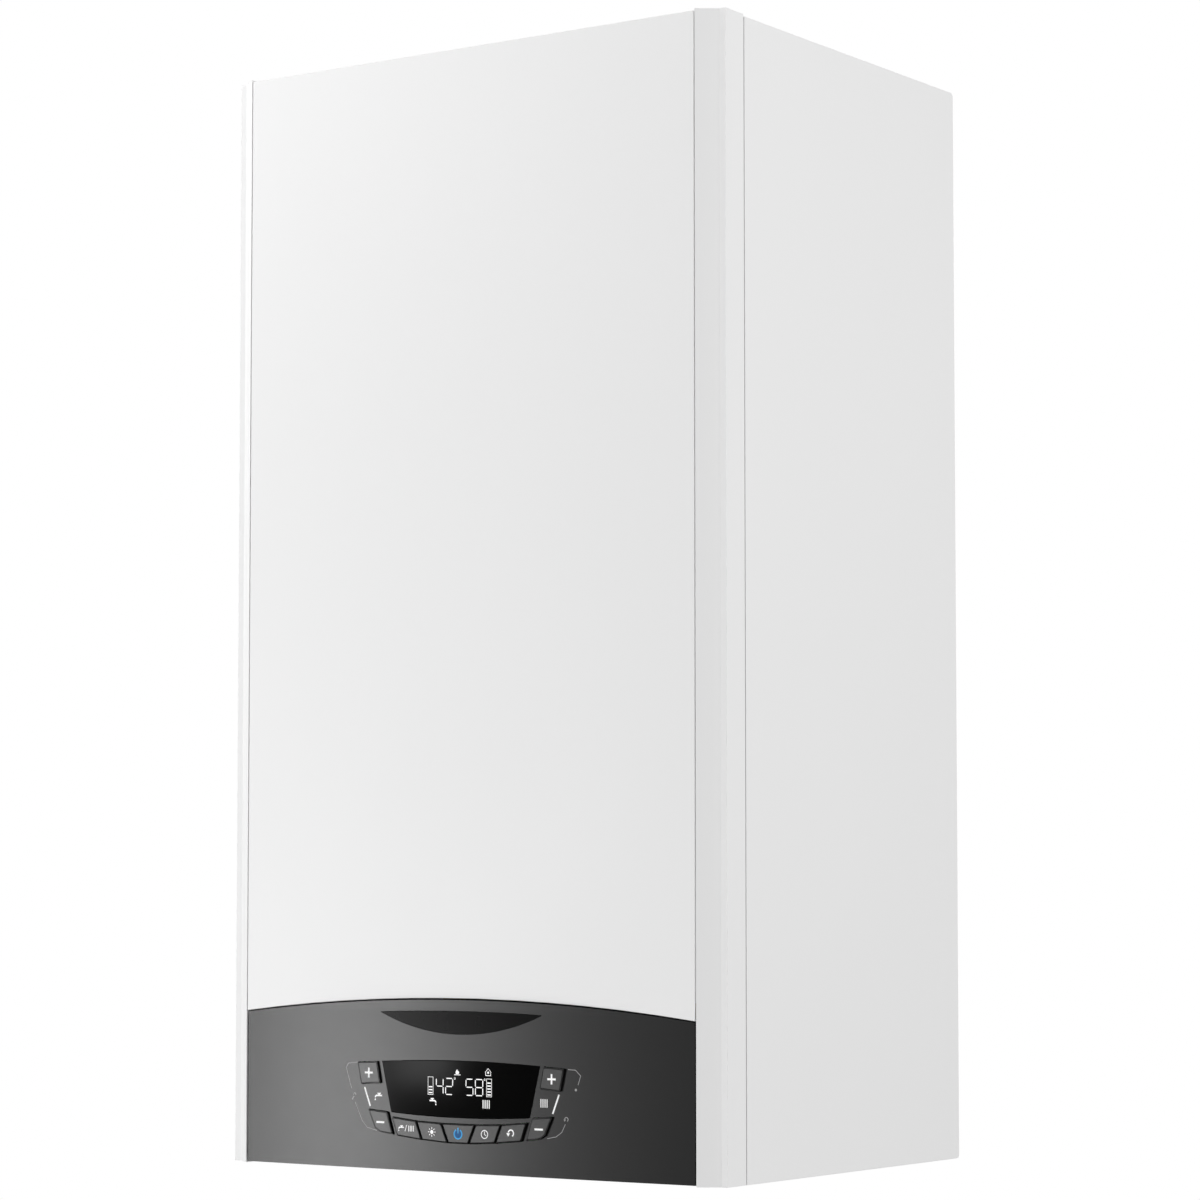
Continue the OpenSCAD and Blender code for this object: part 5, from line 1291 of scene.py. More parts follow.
    def spread(self, name: str, tree: bpy.types.NodeTree, spots: Sequence[Spot],
               values: dict[str, float]) -> bpy.types.Object:
        """Runs a tree and keeps its result as a plain mesh.

        Args:
            name: Name of the piece.
            tree: The tree that makes it.
            spots: Place and aim of each shape.
            values: The tree's inputs, by name. Lengths are in metres.

        Returns:
            The object, without a modifier.
        """
        mesh = bpy.data.meshes.new(name + "_points")
        mesh.from_pydata([spot for spot, _ in spots], [], [])
        aim = mesh.attributes.new("aim", "FLOAT_VECTOR", "POINT")
        aim.data.foreach_set("vector", [part for _, way in spots for part in way])
        holder = Workshop.add(name + "_points", mesh)
        modifier = holder.modifiers.new("repeat", "NODES")
        modifier.node_group = tree
        for socket in tree.interface.items_tree:
            if socket.in_out == "INPUT" and socket.name in values:
                modifier[socket.identifier] = values[socket.name]
        made = evaluated(holder)
        bpy.data.objects.remove(holder)
        made.polygons.foreach_set("use_smooth", [True] * len(made.polygons))
        made.set_sharp_from_angle(angle=math.radians(SHARP_ANGLE))
        return Workshop.add(name, made)


@dataclass
class Casing:
    """The painted sheet-metal casing and its lift-off cover, with the rounding of each sheet in mm."""

    edges: dict[str, float] = field(default_factory=lambda: {
        "front_panel": 0.45, "left_corner_trim": 0.55, "right_corner_trim": 0.55, "left_side_panel": 0.4,
        "right_side_panel": 0.4, "top_panel": 0.4, "bottom_panel": 0.4, "chamber_front": 0.45})

    def build(self, shop: Workshop) -> None:
        """Rounds the edges of the sheets."""
        shop.round_off(self.edges)


@dataclass
class ControlFascia:
    """The bowed fascia with its display, badge and keys. Lengths are in mm."""

    # The bowed front: depth of its middle from the wall, half its width, and how far it bulges
    case_d: float = 319.0
    arch_x: float = 181.3
    crown: float = 2.8
    # How far a key stands before it, the depth of the window's face and the width of a strip of it
    proud: float = 1.6
    window_y: float = -318.822
    strip: float = 6.0
    # The arched edge above it: its radius and the height of its centre
    arch_radius: float = 1499.58
    arch_z: float = -1386.38
    # The band under the arch: its height, how far it leans out, and how deep a ledge is drawn forward to it
    band: float = 5.8
    band_lean: float = 0.2
    band_depth: float = 6.0
    # How far up the band that ledge starts, and how far up it a face leans
    band_top: float = 0.9
    band_foot: float = 0.05
    # Rounding of the fascia, and the turn in degrees above which an edge has it
    edge: float = 0.5
    edge_turn: float = 30.0
    # Rounding of the pieces that are set in the fascia, and of a key
    inset_edges: dict[str, float] = field(default_factory=lambda: {
        "display_window": 0.35, "badge_plate": 0.25})
    key_edge: float = 0.3
    # How far inside a key's rim its painted shade starts and ends: a dark ring on its face that stands in for
    # the shadow in the gap round the key
    key_gap_shade: Point = (0.3, 0.75)
    # Half width, foot and top of the field of keys, whose narrow bars stay sharp
    key_field: tuple[float, float, float] = (92.0, 14.0, 76.0)
    # A face that looks forwards, and one that lies flat in the front, by the y of its normal
    forwards: float = -0.75
    flat: float = -0.99
    # How near the cylinder a point lies that is set on it, and one that takes its normal
    near: float = 0.15
    touching: float = 0.004
    # Area in square mm above which a face isn't part of a rounded edge
    flat_area: float = 4.0
    body: str = "control_box"
    # Middle of each pair of keys on the right, of the low keys there and of the key in the middle
    plus_at: Point = (74.25, 63.95)
    minus_at: Point = (64.3, 31.6)
    low_keys: tuple[Point, ...] = ((21.4, 26.8), (42.4, 28.35))
    power_z: float = 26.2
    # The display: each digit with its left and right, their foot and top, and the small rings after them
    digits: tuple[tuple[int, float, float], ...] = (
        (4, -19.4, -13.2), (2, -11.8, -5.4), (5, 4.8, 11.1), (8, 12.4, 19.0))
    digit_span: Point = (51.2, 62.3)
    degree_x: tuple[float, ...] = (-4.0, 20.2)
    # The two columns of level bars: left, right and number of bars
    levels: tuple[tuple[float, float, int], ...] = ((-26.0, -21.6, 3), (21.6, 25.9, 5))
    level_span: Point = (50.9, 62.7)
    level_frame: float = 0.3
    level_gap: float = 0.7
    level_foot: float = 1.0
    level_bar: float = 0.8
    level_step: float = 1.9
    # The fine lines that join the keys to their signs
    flow_lines: tuple[tuple[Point, ...], ...] = (
        ((-84.7, 70.5), (-92.9, 69.6), (-94.8, 66.8), (-90.1, 52.9)),
        ((-87.1, 44.2), (-80.9, 31.9), (-76.6, 27.6), (-68.4, 25.9)),
        ((85.9, 70.4), (91.7, 70.2), (95.7, 66.6), (93.7, 60.8)),
        ((83.9, 35.5), (81.1, 30.2), (76.6, 27.2), (69.8, 25.9)))

    def front_y(self, x: float) -> float:
        """Returns the depth of the fascia's front at x."""
        radius = self.arch_x ** 2 / (2 * self.crown) + self.crown / 2
        return radius - self.case_d - math.sqrt(radius * radius - x * x)

    def band_at(self, x: float, z: float) -> float:
        """Returns how far up the band under the arch a point is, from 0 to 1, or less below it."""
        arch = self.arch_z + math.sqrt(self.arch_radius ** 2 - x * x)
        return (z - arch) / self.band + 1

    def key_y(self, x: float) -> Callable[[float], float]:
        """Returns the depth of the flat face of the key whose middle is at x."""
        depth = self.front_y(x) - self.proud
        return lambda _: depth

    def build(self, shop: Workshop) -> None:
        """Makes the fascia, the window and badge, the keys and all that is printed on them.

        Args:
            shop: The workshop that finishes the pieces.
        """
        self._moulding(shop)
        shop.round_off(self.inset_edges)
        for node in shop.slots:
            if node.startswith("key_"):
                self._paint_gap_shade(shop, node)
                shop.round_off({node: self.key_edge})
        self._display(shop)
        self._key_signs(shop)
        self._fascia_signs(shop)

    def _moulding(self, shop: Workshop) -> None:
        """Rounds the fascia's edges, clear of the keys, and makes its bowed front truly smooth.

        Args:
            shop: The workshop that finishes the pieces.
        """
        piece, shape = shop.copy_of("fascia", "fascia_finished", 0.2)
        for vertex in shape.verts:
            x, y, z = in_mm(vertex.co)
            if self.band_at(x, z) > self.band_top and y < self.front_y(x) + self.band_depth:
                vertex.co.y = (self.front_y(x) - self.band_lean) * MM
        weight = shape.edges.layers.float.new("bevel_weight_edge")
        half, foot, top = self.key_field
        for edge in shape.edges:
            x, _, z = in_mm((edge.verts[0].co + edge.verts[1].co) / 2)
            crowded = abs(x) < half and foot < z < top
            if not crowded and edge.calc_face_angle(0.0) > math.radians(self.edge_turn):
                edge[weight] = 1.0
        shop.close(piece, shape)
        shop.soften(piece, self.edge)
        piece.modifiers["rounding"].limit_method = "WEIGHT"
        piece.data = evaluated(piece)
        piece.modifiers.clear()
        self._true_front(piece.data)
        shop.keep(piece, self.body, "fascia_grey", ["fascia"])

    def _true_front(self, mesh: bpy.types.Mesh) -> None:
        """Cuts the front into strips, sets them on the cylinder and gives them its normals.

        The large faces round it keep their own normals, so that they look flat.

        Args:
            mesh: The fascia's mesh.
        """
        shape = bmesh.new()
        shape.from_mesh(mesh)
        count = int(2 * self.arch_x / self.strip)
        for i in range(1, count):
            x = -self.arch_x + 2 * self.arch_x * i / count
            bmesh.ops.bisect_plane(shape, geom=shape.verts[:] + shape.edges[:] + shape.faces[:],
                                   plane_co=(x * MM, 0.0, 0.0), plane_no=(1.0, 0.0, 0.0))
        for vertex in shape.verts:
            x, y, z = in_mm(vertex.co)
            depth = self.front_y(x) - self.band_lean * max(0.0, self.band_at(x, z))
            if abs(y - depth) < self.near and any(face.normal.y < self.flat for face in vertex.link_faces):
                vertex.co.y = depth * MM
        shape.to_mesh(mesh)
        shape.free()
        mesh.set_sharp_from_angle(angle=math.radians(SHARP_ANGLE))
        radius = self.arch_x ** 2 / (2 * self.crown) + self.crown / 2
        normals = [Vector((0.0, 0.0, 0.0))] * len(mesh.loops)
        for polygon in mesh.polygons:
            if polygon.normal.y > self.forwards:
                if polygon.area > self.flat_area * MM ** 2:
                    for index in polygon.loop_indices:
                        normals[index] = polygon.normal.copy()
                continue
            x, _, z = in_mm(polygon.center)
            dip = -self.band_lean / self.band if self.band_at(x, z) > self.band_foot else 0.0
            for index in polygon.loop_indices:
                x, y, z = in_mm(mesh.vertices[mesh.loops[index].vertex_index].co)
                if abs(y - self.front_y(x) + self.band_lean * max(0.0, self.band_at(x, z))) < self.touching:
                    normals[index] = Vector((x / radius, -math.sqrt(1 - (x / radius) ** 2), dip)).normalized()
        mesh.normals_split_custom_set(normals)

    def _paint_gap_shade(self, shop: Workshop, node: str) -> None:
        """Paints shade round the face of a key: a dark ring that stands in for the shadow in the gap round
        it.

        Args:
            shop: The workshop that finishes the pieces.
            node: The key's CAD node.
        """
        piece, shape = shop.copy_of(node, node + "_line")
        face = min(shape.faces, key=lambda side: side.normal.y * side.calc_area())
        rim = [(vertex.co.x / MM, vertex.co.z / MM + HANG_Z) for vertex in face.verts]
        shape.free()
        bpy.data.objects.remove(piece)
        middle_x = (min(x for x, _ in rim) + max(x for x, _ in rim)) / 2
        # The ring is painted shade, not print: it darkens the key's rim as the gap's shadow would
        line = Stencil(node + "_line", facing(self.key_y(middle_x)))
        for inset in self.key_gap_shade:
            line.loop(shrunk(rim, inset))
        shop.keep(line.piece(), node + "_cap", "gap_shade_black")

    def _display(self, shop: Workshop) -> None:
        """Prints the lit segments of the display.

        Args:
            shop: The workshop that finishes the pieces.
        """
        lit = Stencil("display_segments", facing(lambda _: self.window_y))
        low, high = self.digit_span
        for number, left, right in self.digits:
            lit.digit(number, left, low, right, high)
        for x in self.degree_x:
            lit.ring(x, high - 0.3, 0.55, 0.28)
        low, high = self.level_span
        for left, right, count in self.levels:
            for inset in (0.0, self.level_frame):
                lit.bar(left + inset, low + inset, right - inset, high - inset)
            for i in range(count):
                foot = low + self.level_foot + i * self.level_step
                lit.bar(left + self.level_gap, foot, right - self.level_gap, foot + self.level_bar)
        lit.flame(-2.0, 65.0, 3.2)
        lit.line([(-4.6, 64.5), (0.6, 64.5)], 0.45)
        lit.house(23.0, 66.9, 5.6)
        lit.tap(-21.8, 46.5, 5.6, -1)
        lit.radiator(21.4, 46.1, 6.6, 5.4)
        shop.keep(lit.piece(), self.body, "lit_segment")

    def _key_signs(self, shop: Workshop) -> None:
        """Prints a plain sign on each key.

        Args:
            shop: The workshop that finishes the pieces.
        """
        x, z = self.plus_at
        for name, side in (("water", -1), ("heating", 1)):
            sign = Stencil(f"sign_{name}_plus", facing(self.key_y(side * x)))
            sign.plus(side * x, z, 3.3, 1.25)
            shop.keep(sign.piece(), f"key_{name}_plus_cap", "white_print_painted_glow")
            low_x, low_z = self.minus_at
            sign = Stencil(f"sign_{name}_minus", facing(self.key_y(side * low_x)))
            sign.bar(side * low_x - 3.3, low_z - 0.62, side * low_x + 3.3, low_z + 0.62)
            shop.keep(sign.piece(), f"key_{name}_minus_cap", "white_print_painted_glow")
        (inner_x, inner_z), (outer_x, outer_z) = self.low_keys
        z = self.power_z
        sign = Stencil("sign_power", facing(self.key_y(0.0)))
        sign.arc(0.0, z, 3.1, 0.85, 122, 418)
        sign.bar(-0.42, z + 0.4, 0.42, z + 4.1)
        shop.keep(sign.piece(), "key_power_cap", "blue_light")
        halo = Stencil("glow_power", facing(self.key_y(0.0)))
        halo.loop([*[on_circle(0.0, z, 2.6, a) for a in range(104, 437, 12)],
                   (0.55, z + 0.25), (-0.55, z + 0.25)])
        shop.keep(halo.piece(), "key_power_cap", "blue_halo")
        sign = Stencil("sign_comfort", facing(self.key_y(-inner_x)))
        sign.disc(-inner_x, inner_z, 1.3)
        for degrees in range(0, 360, 45):
            sign.line([on_circle(-inner_x, inner_z, r, degrees) for r in (2.0, 3.1)], 0.45)
        shop.keep(sign.piece(), "key_comfort_cap", "white_print_painted_glow")
        sign = Stencil("sign_auto", facing(self.key_y(inner_x)))
        sign.ring(inner_x, inner_z, 2.6, 0.5)
        sign.line([(inner_x, inner_z + 1.9), (inner_x, inner_z), (inner_x + 1.4, inner_z - 0.8)], 0.45)
        shop.keep(sign.piece(), "key_auto_cap", "white_print_painted_glow")
        sign = Stencil("sign_reset", facing(self.key_y(outer_x)))
        sign.arrow(outer_x, outer_z, 4.2)
        shop.keep(sign.piece(), "key_reset_cap", "white_print_painted_glow")
        sign = Stencil("sign_mode", facing(self.key_y(-outer_x)))
        sign.tap(-outer_x - 4.4, outer_z, 4.6)
        sign.radiator(-outer_x + 3.8, outer_z, 5.2, 3.8)
        sign.line([(-outer_x - 1.2, outer_z - 2.0), (-outer_x + 0.2, outer_z + 2.2)], 0.4)
        shop.keep(sign.piece(), "key_mode_cap", "white_print_painted_glow")

    def _fascia_signs(self, shop: Workshop) -> None:
        """Prints the signs and lines that stand beside the keys.

        Args:
            shop: The workshop that finishes the pieces.
        """
        bold = Stencil("fascia_signs", facing(self.front_y))
        for side in (-1, 1):
            bold.line([(side * 79.0, 54.2), (side * 74.1, 41.8)], 1.1)
        bold.tap(-67.3, 48.3, 6.2)
        bold.radiator(67.3, 48.3, 6.4, 5.4)
        shop.keep(bold.piece(), self.body, "white_print_painted_glow")
        thin = Stencil("fascia_lines", facing(self.front_y))
        for points in self.flow_lines:
            thin.line(points, 0.4)
        thin.disc(92.0, 57.6, 0.8)
        thin.arrow(84.7, 38.6, 2.6)
        thin.arc(-87.4, 49.0, 1.0, 0.5, -20, 200)
        thin.line([(-88.0, 47.9), (-89.6, 45.6)], 0.8)
        shop.keep(thin.piece(), self.body, "grey_print")


@dataclass
class Fasteners:
    """Every cross-headed screw, by sub-assembly. Lengths are in mm."""

    # Radius and height of a head, and radius and length of a shank
    head: Point = (4.0, 2.4)
    shank: Point = (2.0, 8.0)
    small_head: Point = (2.4, 1.3)
    small_shank: Point = (1.2, 1.0)
    # Width of a recess in radii of its head, and its depth in heights of its head
    recess: Point = (0.26, 0.55)
    seed: int = 7
    corners: tuple[float, ...] = (45.0, 135.0, 225.0, 315.0)
    top_x: tuple[float, ...] = (-150.0, 0.0, 150.0)
    top_y: float = -19.2
    top_z: float = 743.7
    flue_at: Point = FLUE_AT
    collar_r: float = 56.75
    collar_z: float = 745.7
    chamber_x: float = 176.0
    chamber_y: float = -277.0
    # Foot and height of the chamber's front, and the rows of its screws in shares of that height
    chamber_low: float = 301.7
    chamber_h: float = 432.0
    chamber_rows: tuple[float, ...] = (0.06, 0.35, 0.65, 0.94)
    sight_at: Point = SIGHT_AT
    sight_r: float = 17.2
    sight_y: float = -279.0
    lid_x: float = 162.0
    lid_rows: tuple[float, ...] = (26.0, 95.0)
    lid_y: float = -251.0
    terminal_at: tuple[Point, ...] = ((84.0, 223.5), (128.0, 223.5), (84.0, 238.5), (128.0, 238.5))
    terminal_y: float = -205.0
    regulator_at: tuple[Point, ...] = ((20.0, 148.0), (20.0, 184.0))
    regulator_y: float = -167.0

    def build(self, shop: Workshop, repeater: Repeater) -> None:
        """Drives the casing's own screws and the small ones that the solids leave out.

        Args:
            shop: The workshop that finishes the pieces.
            repeater: The trees of what repeats.
        """
        spots = [(place(x, self.top_y, self.top_z), UP) for x in self.top_x]
        spots += [(place(*on_circle(*self.flue_at, self.collar_r, turn), self.collar_z), UP)
                  for turn in self.corners]
        for row in self.chamber_rows:
            z = self.chamber_low + row * self.chamber_h
            spots += [(place(side * self.chamber_x, self.chamber_y, z), FORWARD) for side in (-1, 1)]
        screws = self._drive(repeater, "casing_screws_crossed", spots, self.head, self.shank)
        shop.keep(screws, "casing", "screw_zinc", ["casing_screws"])
        spots = [(place(x, self.terminal_y, z), FORWARD) for x, z in self.terminal_at]
        spots += [(place(x, self.regulator_y, z), FORWARD) for x, z in self.regulator_at]
        for turn in self.corners:
            x, z = on_circle(*self.sight_at, self.sight_r, turn)
            spots.append((place(x, self.sight_y, z), FORWARD))
        shop.keep(self._drive(repeater, "fitting_screws", spots, self.small_head, self.small_shank),
                  "casing", "screw_zinc")
        spots = [(place(side * self.lid_x, self.lid_y, z), BACKWARD)
                 for side in (-1, 1) for z in self.lid_rows]
        shop.keep(self._drive(repeater, "lid_screws", spots, self.small_head, self.small_shank),
                  "control_box", "screw_zinc")

    def _drive(self, repeater: Repeater, name: str, spots: Sequence[Spot], head: Point,
               shank: Point) -> bpy.types.Object:
        """Returns one piece with a screw at each spot, each stopped at a turn of its own.

        Args:
            repeater: The trees of what repeats.
            name: Name of the piece.
            spots: Place and aim of each screw.
            head: Radius and height of the head.
            shank: Radius and length of the shank.

        Returns:
            The piece.
        """
        return repeater.spread(name, repeater.screws(), spots, {
            "Head Radius": head[0] * MM, "Head Height": head[1] * MM,
            "Recess Width": head[0] * self.recess[0] * MM, "Recess Depth": head[1] * self.recess[1] * MM,
            "Shank Radius": shank[0] * MM, "Shank Length": shank[1] * MM,
            "Loose Turn": math.pi / 2, "Seed": self.seed})


@dataclass
class PressureGauge:
    """The round water-pressure gauge under the casing. Lengths are in mm."""

    at: Point = (-134.0, -205.0)
    ceiling: float = 47.0
    bore: float = 20.0
    # The angle of the reading 0, the angle that the scale covers, and how many numbers it has
    zero: float = -101.0
    sweep: float = 270.0
    numbers: int = 5
    # Gap round the dial and glass, thickness of the dial, and how far below it marks and prints lie
    gap: float = 0.15
    sheet: float = 0.06
    mark_drop: float = 0.1
    print_drop: float = 0.07
    hub_r: float = 1.35
    # Depth of the back of the glass and of its domed front below the dial
    glass_back: float = 2.9
    glass_front: float = 3.9
    # The dome: how much shallower the glass is at its rim and near it, and how far in that is
    dome_rim: float = 0.3
    dome_near: float = 0.05
    dome_in: float = 2.0
    # The scale's marks: name, number, length and width
    marks: tuple[tuple[str, int, float, float], ...] = (
        ("gauge_marks", 5, 3.4, 0.7), ("gauge_ticks", 41, 1.8, 0.28))
    # How far inside the bore the marks end
    mark_rim: float = 1.2
    figure_r: float = 11.2
    figure_h: float = 4.4
    band_r: float = 14.6
    band_w: float = 0.7
    # The coloured bands: name, finish, and the readings that they start and end at
    bands: tuple[tuple[str, str, float, float], ...] = (
        ("gauge_safe_band", "green_print", 1.0, 2.0), ("gauge_limit_band", "red_print", 3.0, 4.0))

    def build(self, shop: Workshop, repeater: Repeater) -> None:
        """Fits the dial, its scale and the glass.

        Args:
            shop: The workshop that finishes the pieces.
            repeater: The trees of what repeats.
        """
        shop.round_off({"gauge_body": 0.6})
        centre = place(*self.at, self.ceiling)
        r, sheet, back, front = self.bore - self.gap, self.sheet, self.glass_back, self.glass_front
        dial = shop.lathe("gauge_dial", [(self.hub_r, 0.0), (r, 0.0), (r, sheet), (self.hub_r, sheet)],
                          centre, DOWN, 64)
        shop.keep(dial, "casing", "dial_face")
        glass = shop.lathe("gauge_glass", [
            (0.0, back), (r, back), (r, front - self.dome_rim), (r - self.dome_in, front - self.dome_near),
            (0.0, front)], centre, DOWN, 64)
        shop.keep(glass, "casing", "clear_glass")
        for name, count, reach, width in self.marks:
            marks = repeater.spread(name, repeater.spokes(), [(centre + DOWN * self.mark_drop * MM, UP)], {
                "Radius": (r - self.mark_rim - reach / 2) * MM, "Start": math.radians(90 + self.zero),
                "Sweep": math.radians(self.sweep), "Reach": reach * MM, "Width": width * MM,
                "Depth": sheet * MM, "Count": count})
            shop.keep(marks, "casing", "dial_print")
        figures = Stencil("gauge_figures", self._lay)
        for number in range(self.numbers):
            spot = on_circle(0.0, 0.0, self.figure_r, self._angle(number))
            figures.figure(str(number), *spot, self.figure_h)
        shop.keep(figures.piece(), "casing", "dial_print")
        for name, finish, low, high in self.bands:
            band = Stencil(name, self._lay)
            band.arc(0.0, 0.0, self.band_r, self.band_w, self._angle(low), self._angle(high))
            shop.keep(band.piece(), "casing", finish)

    def _angle(self, reading: float) -> float:
        """Returns where a reading stands on the dial, in degrees, with the scale's middle at the top."""
        return 90 - self.sweep * (reading / (self.numbers - 1) - 0.5)

    def _lay(self, x: float, z: float, lift: float) -> Vector:
        """Returns the place of a point of the dial, upright where its scale's middle is at the top.

        Args:
            x: Across the dial.
            z: Up the dial.
            lift: Height over the dial.

        Returns:
            The place in metres.
        """
        turn = math.radians(self.zero + self.sweep / 2)
        up = Vector((-math.sin(turn), math.cos(turn)))
        return place(self.at[0] - up.y * x + up.x * z, self.at[1] + up.x * x + up.y * z,
                     self.ceiling - self.print_drop - lift)


@dataclass
class PipeWork:
    """The threaded tails, valves and pump under the chamber. Lengths are in mm."""

    tail_y: float = -125.0
    tail_foot: float = 12.0
    thread_top: float = 28.0
    ridge: float = 0.8
    pitch: float = 1.814
    slack: float = 0.1
    # The threaded tails of each node: distance across and outer radius
    tails: dict[str, tuple[Point, ...]] = field(default_factory=lambda: {
        "diverter_valve": ((-134.0, 13.2), (-67.0, 13.2)), "gas_valve": ((0.0, 13.2),),
        "pump_housing": ((67.0, 10.5), (134.0, 13.2))})
    pump_at: Point = (106.0, 190.0)
    pump_face: float = -219.0
    # The front and back of the pump's motor, and its radius
    motor_span: Point = (-197.0, -153.0)
    motor_r: float = 37.0
    coils: tuple[Point, ...] = ((-12.0, 150.0), (-12.0, 182.0))
    coil_foot: float = -159.0
    unions: tuple[Point, ...] = ((134.0, 250.0), (-134.0, 150.0), (0.0, 212.0))
    edges: dict[str, float] = field(default_factory=lambda: {
        "diverter_motor": 1.0, "air_vent": 0.7, "safety_knob": 0.7, "pump_motor": 0.8, "cable_grommets": 0.6})
    # Radius over the corners and height of a nut
    union_nut: Point = (15.0, 11.0)
    coil_nut: Point = (7.0, 3.4)
    coil_length: float = 33.2
    # Reach and width of a cooling rib and their number, and how far outside the motor a rib's middle lies
    rib: tuple[float, float, int] = (2.6, 1.5, 36)
    rib_out: float = 0.4
    # Radius and height of the vent screw's head, width and depth of its slot, radius and length of its shank
    vent_head: Point = (7.6, 2.4)
    vent_slot: Point = (1.8, 1.3)
    vent_shank: Point = (3.0, 2.0)
    knob_at: Point = (-205.0, 231.0)
    knob: tuple[Point, ...] = (
        (0.0, 0.0), (7.0, 0.0), (7.0, 0.8), (5.6, 1.2), (5.2, 4.2), (4.6, 4.8), (0.0, 4.8))
    sleeve: tuple[Point, ...] = (
        (13.2, 1.0), (14.2, 1.6), (14.2, 9.0), (13.6, 9.6), (13.6, 21.4), (14.2, 22.0), (14.2, 28.6),
        (13.2, 29.4))

    def build(self, shop: Workshop, repeater: Repeater) -> None:
        """Cuts the threads and dresses the pump and the gas valve.

        Args:
            shop: The workshop that finishes the pieces.
            repeater: The trees of what repeats.
        """
        for node, tails in self.tails.items():
            self._turned_down(shop, node, tails)
            for x, crest in tails:
                foot = place(x, self.tail_y, self.tail_foot + self.ridge)
                length = self.thread_top - self.tail_foot - 2 * self.ridge
                name = f"thread_{node}_{x:+.0f}".replace("+", "p").replace("-", "m")
                thread = repeater.spread(name, repeater.threads(), [(foot, UP)], {
                    "Root Radius": (crest - self.ridge) * MM, "Ridge": self.ridge * MM,
                    "Pitch": self.pitch * MM, "Length": length * MM})
                shop.keep(thread, "casing", shop.slots[node])
        shop.round_off(self.edges)
        spots = [(place(x, self.tail_y, z), UP) for x, z in self.unions]
        shop.keep(self._nuts(repeater, "union_nuts", spots, self.union_nut), "casing", "brass")
        self._pump(shop, repeater)
        self._coils(shop, repeater)

    def _turned_down(self, shop: Workshop, node: str, tails: Sequence[Point]) -> None:
        """Replaces a node by a copy whose tails are cut down to the root of their thread.

        Args:
            shop: The workshop that finishes the pieces.
            node: The CAD node.
            tails: Distance across and outer radius of each tail.
        """
        piece, shape = shop.copy_of(node, node + "_turned")
        for vertex in shape.verts:
            x, y, z = in_mm(vertex.co)
            for tail, crest in tails:
                out = Vector((x - tail, y - self.tail_y))
                if z < self.thread_top + self.slack and abs(out.length - crest) < self.slack:
                    out *= (crest - self.ridge) / crest
                    vertex.co.x, vertex.co.y = (tail + out.x) * MM, (self.tail_y + out.y) * MM
        shop.close(piece, shape)
        piece.data.polygons.foreach_set("use_smooth", [True] * len(piece.data.polygons))
        piece.data.set_sharp_from_angle(angle=math.radians(EDGE_ANGLE))
        shop.keep(piece, "casing", shop.slots[node], [node])

    def _pump(self, shop: Workshop, repeater: Repeater) -> None:
        """Adds the cooling ribs, the vent screw and the speed knob to the pump.

        Args:
            shop: The workshop that finishes the pieces.
            repeater: The trees of what repeats.
        """
        x, z = self.pump_at
        rear, front = max(self.motor_span), min(self.motor_span)
        reach, width, count = self.rib
        spots = [(place(x, (rear + front) / 2, z), FORWARD)]
        ribs = repeater.spread("pump_ribs", repeater.spokes(), spots, {
            "Radius": (self.motor_r + self.rib_out) * MM, "Start": 0.0,
            "Sweep": 2 * math.pi * (count - 1) / count, "Reach": reach * MM, "Width": width * MM,
            "Depth": (rear - front) * MM, "Count": count})
        shop.keep(ribs, "casing", "motor_black")
        spots = [(place(x, self.pump_face, z), FORWARD)]
        vent = repeater.spread("pump_vent_screw", repeater.screws(), spots, {
            "Head Radius": self.vent_head[0] * MM, "Head Height": self.vent_head[1] * MM,
            "Recess Width": self.vent_slot[0] * MM, "Recess Depth": self.vent_slot[1] * MM,
            "Shank Radius": self.vent_shank[0] * MM, "Shank Length": self.vent_shank[1] * MM})
        shop.keep(vent, "casing", "brass")
        knob = shop.lathe("pump_speed_knob", self.knob, place(x, *self.knob_at), FORWARD)
        shop.keep(knob, "casing", "grey_plastic")

    def _coils(self, shop: Workshop, repeater: Repeater) -> None:
        """Puts a moulded sleeve and a nut on each coil of the gas valve.

        Args:
            shop: The workshop that finishes the pieces.
            repeater: The trees of what repeats.
        """
        for i, (x, z) in enumerate(self.coils):
            sleeve = shop.lathe(f"gas_coil_{i + 1}", self.sleeve, place(x, self.coil_foot, z), FORWARD)
            shop.keep(sleeve, "casing", "black_plastic")
        spots = [(place(x, self.coil_foot - self.coil_length, z), FORWARD) for x, z in self.coils]
        shop.keep(self._nuts(repeater, "coil_nuts", spots, self.coil_nut), "casing", "screw_zinc")

    @staticmethod
    def _nuts(repeater: Repeater, name: str, spots: Sequence[Spot], size: Point) -> bpy.types.Object:
        """Returns one piece with a nut at each spot, from its radius and height."""
        return repeater.spread(name, repeater.nuts(), spots, {"Radius": size[0] * MM, "Height": size[1] * MM})


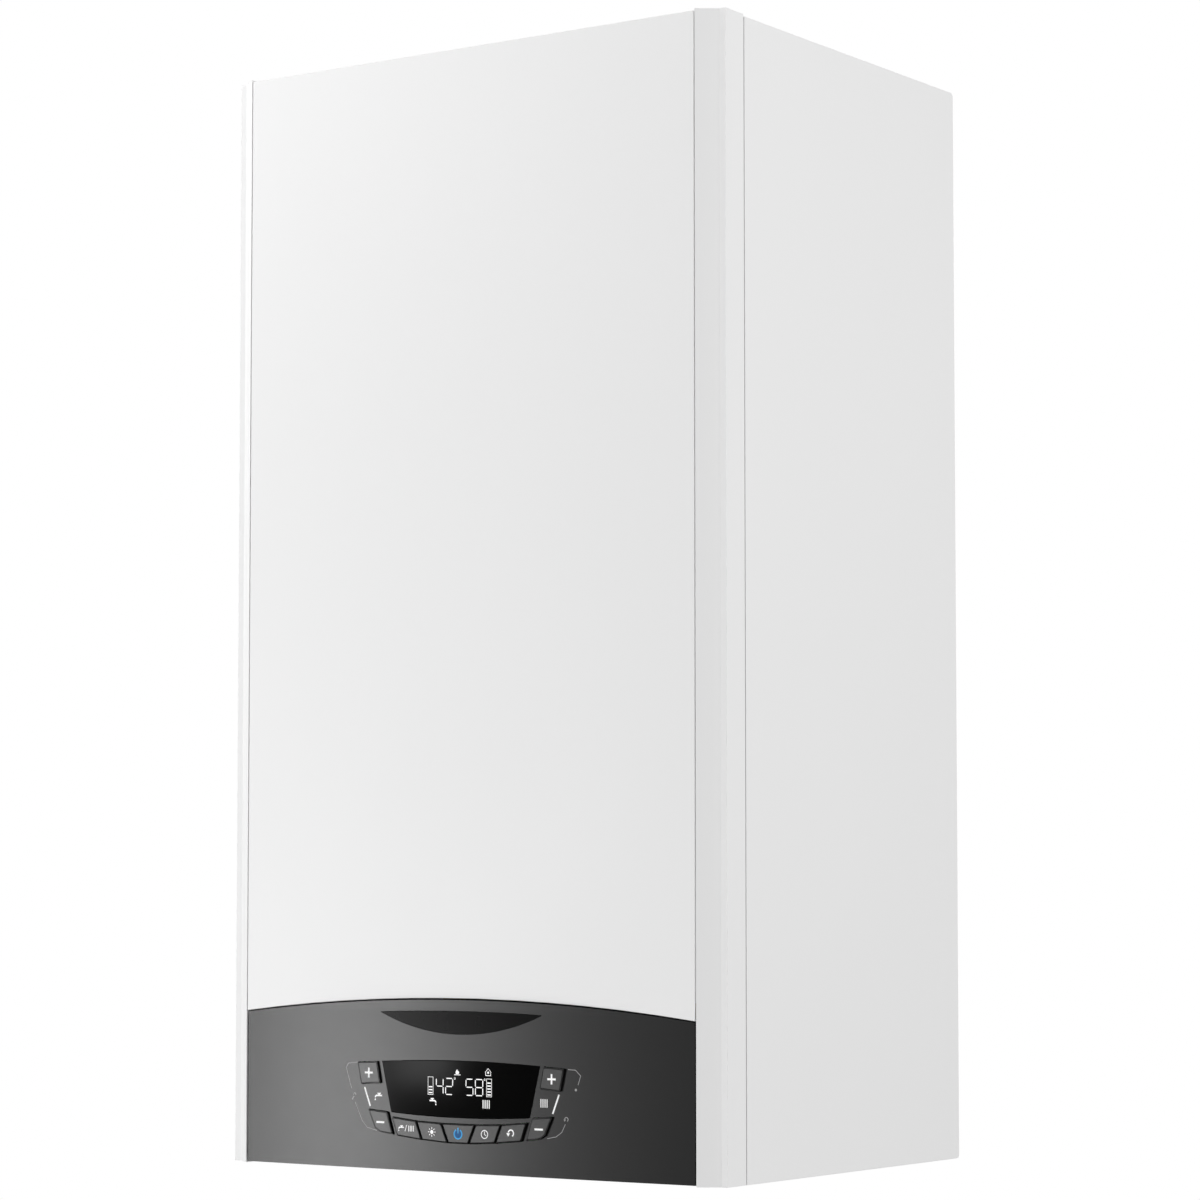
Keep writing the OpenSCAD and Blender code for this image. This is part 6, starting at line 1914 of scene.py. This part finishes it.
@dataclass
class FireChamber:
    """The sight glass of the sealed chamber and the seals of its flue. Lengths are in mm."""

    sight_at: Point = SIGHT_AT
    front: float = -276.0
    flue_at: Point = FLUE_AT
    seal_z: float = 756.0
    # Each seal with the bore that it lines
    seals: tuple[tuple[str, float], ...] = (("flue_seal", 30.25), ("air_seal", 48.55))
    ring: tuple[Point, ...] = ((13.0, 1.05), (13.0, 2.6), (13.4, 3.0), (20.4, 3.0), (21.0, 2.4), (21.0, 1.05))
    pane: tuple[Point, ...] = ((0.0, 0.0), (15.7, 0.0), (15.7, 1.0), (12.8, 1.0), (12.2, 1.3), (0.0, 1.6))
    # A lip seal's profile, outwards from its bore
    lip: tuple[Point, ...] = ((0.1, 0.0), (-1.0, 1.4), (-1.3, 2.4), (-1.0, 3.2), (0.1, 4.0))

    def build(self, shop: Workshop) -> None:
        """Turns the ring and the pane of the sight glass and the two lip seals.

        Args:
            shop: The workshop that finishes the pieces.
        """
        x, z = self.sight_at
        centre = place(x, self.front, z)
        ring = shop.lathe("sight_ring", self.ring, centre, FORWARD, 64)
        shop.keep(ring, "casing", "sight_glass", ["sight_glass"])
        # The pane's dark colour is painted shade of the closed chamber behind it
        pane = shop.lathe("sight_pane", self.pane, centre, FORWARD, 64)
        shop.keep(pane, "casing", "dark_glass_painted_shade")
        for name, bore in self.seals:
            profile = [(bore + out, height) for out, height in self.lip]
            lip = shop.lathe(name, profile, place(*self.flue_at, self.seal_z), UP, 96)
            shop.keep(lip, "casing", "rubber")


@dataclass
class ControlBox:
    """The tray behind the fascia, its lid and the brackets, with the rounding of each in mm."""

    edges: dict[str, float] = field(default_factory=lambda: {
        "control_tray": 0.8, "control_lid": 0.4, "hinge_brackets": 0.3, "wall_bracket": 0.4})

    def build(self, shop: Workshop) -> None:
        """Rounds the edges of the mouldings and brackets."""
        shop.round_off(self.edges)


def main() -> None:
    """Builds the boiler's looks and reports each piece."""
    logging.basicConfig(level=logging.INFO, format="%(name)s %(message)s")
    record = frame["record"]
    slots = {row["node"]: row["material_slot"] for row in record["subparts"]}
    homes = {node: body for body, nodes in record["behaviour"]["bodies"].items() for node in nodes}
    shop = Workshop(homes, slots)
    for node, piece in frame["nodes"].items():
        piece.data.materials.clear()
        piece.data.materials.append(shop.paint.finish(slots[node]))
    Studio().build()
    Casing().build(shop)
    ControlFascia().build(shop)
    repeater = Repeater()
    Fasteners().build(shop, repeater)
    PressureGauge().build(shop, repeater)
    PipeWork().build(shop, repeater)
    FireChamber().build(shop)
    ControlBox().build(shop)


if __name__ == "__main__":
    main()
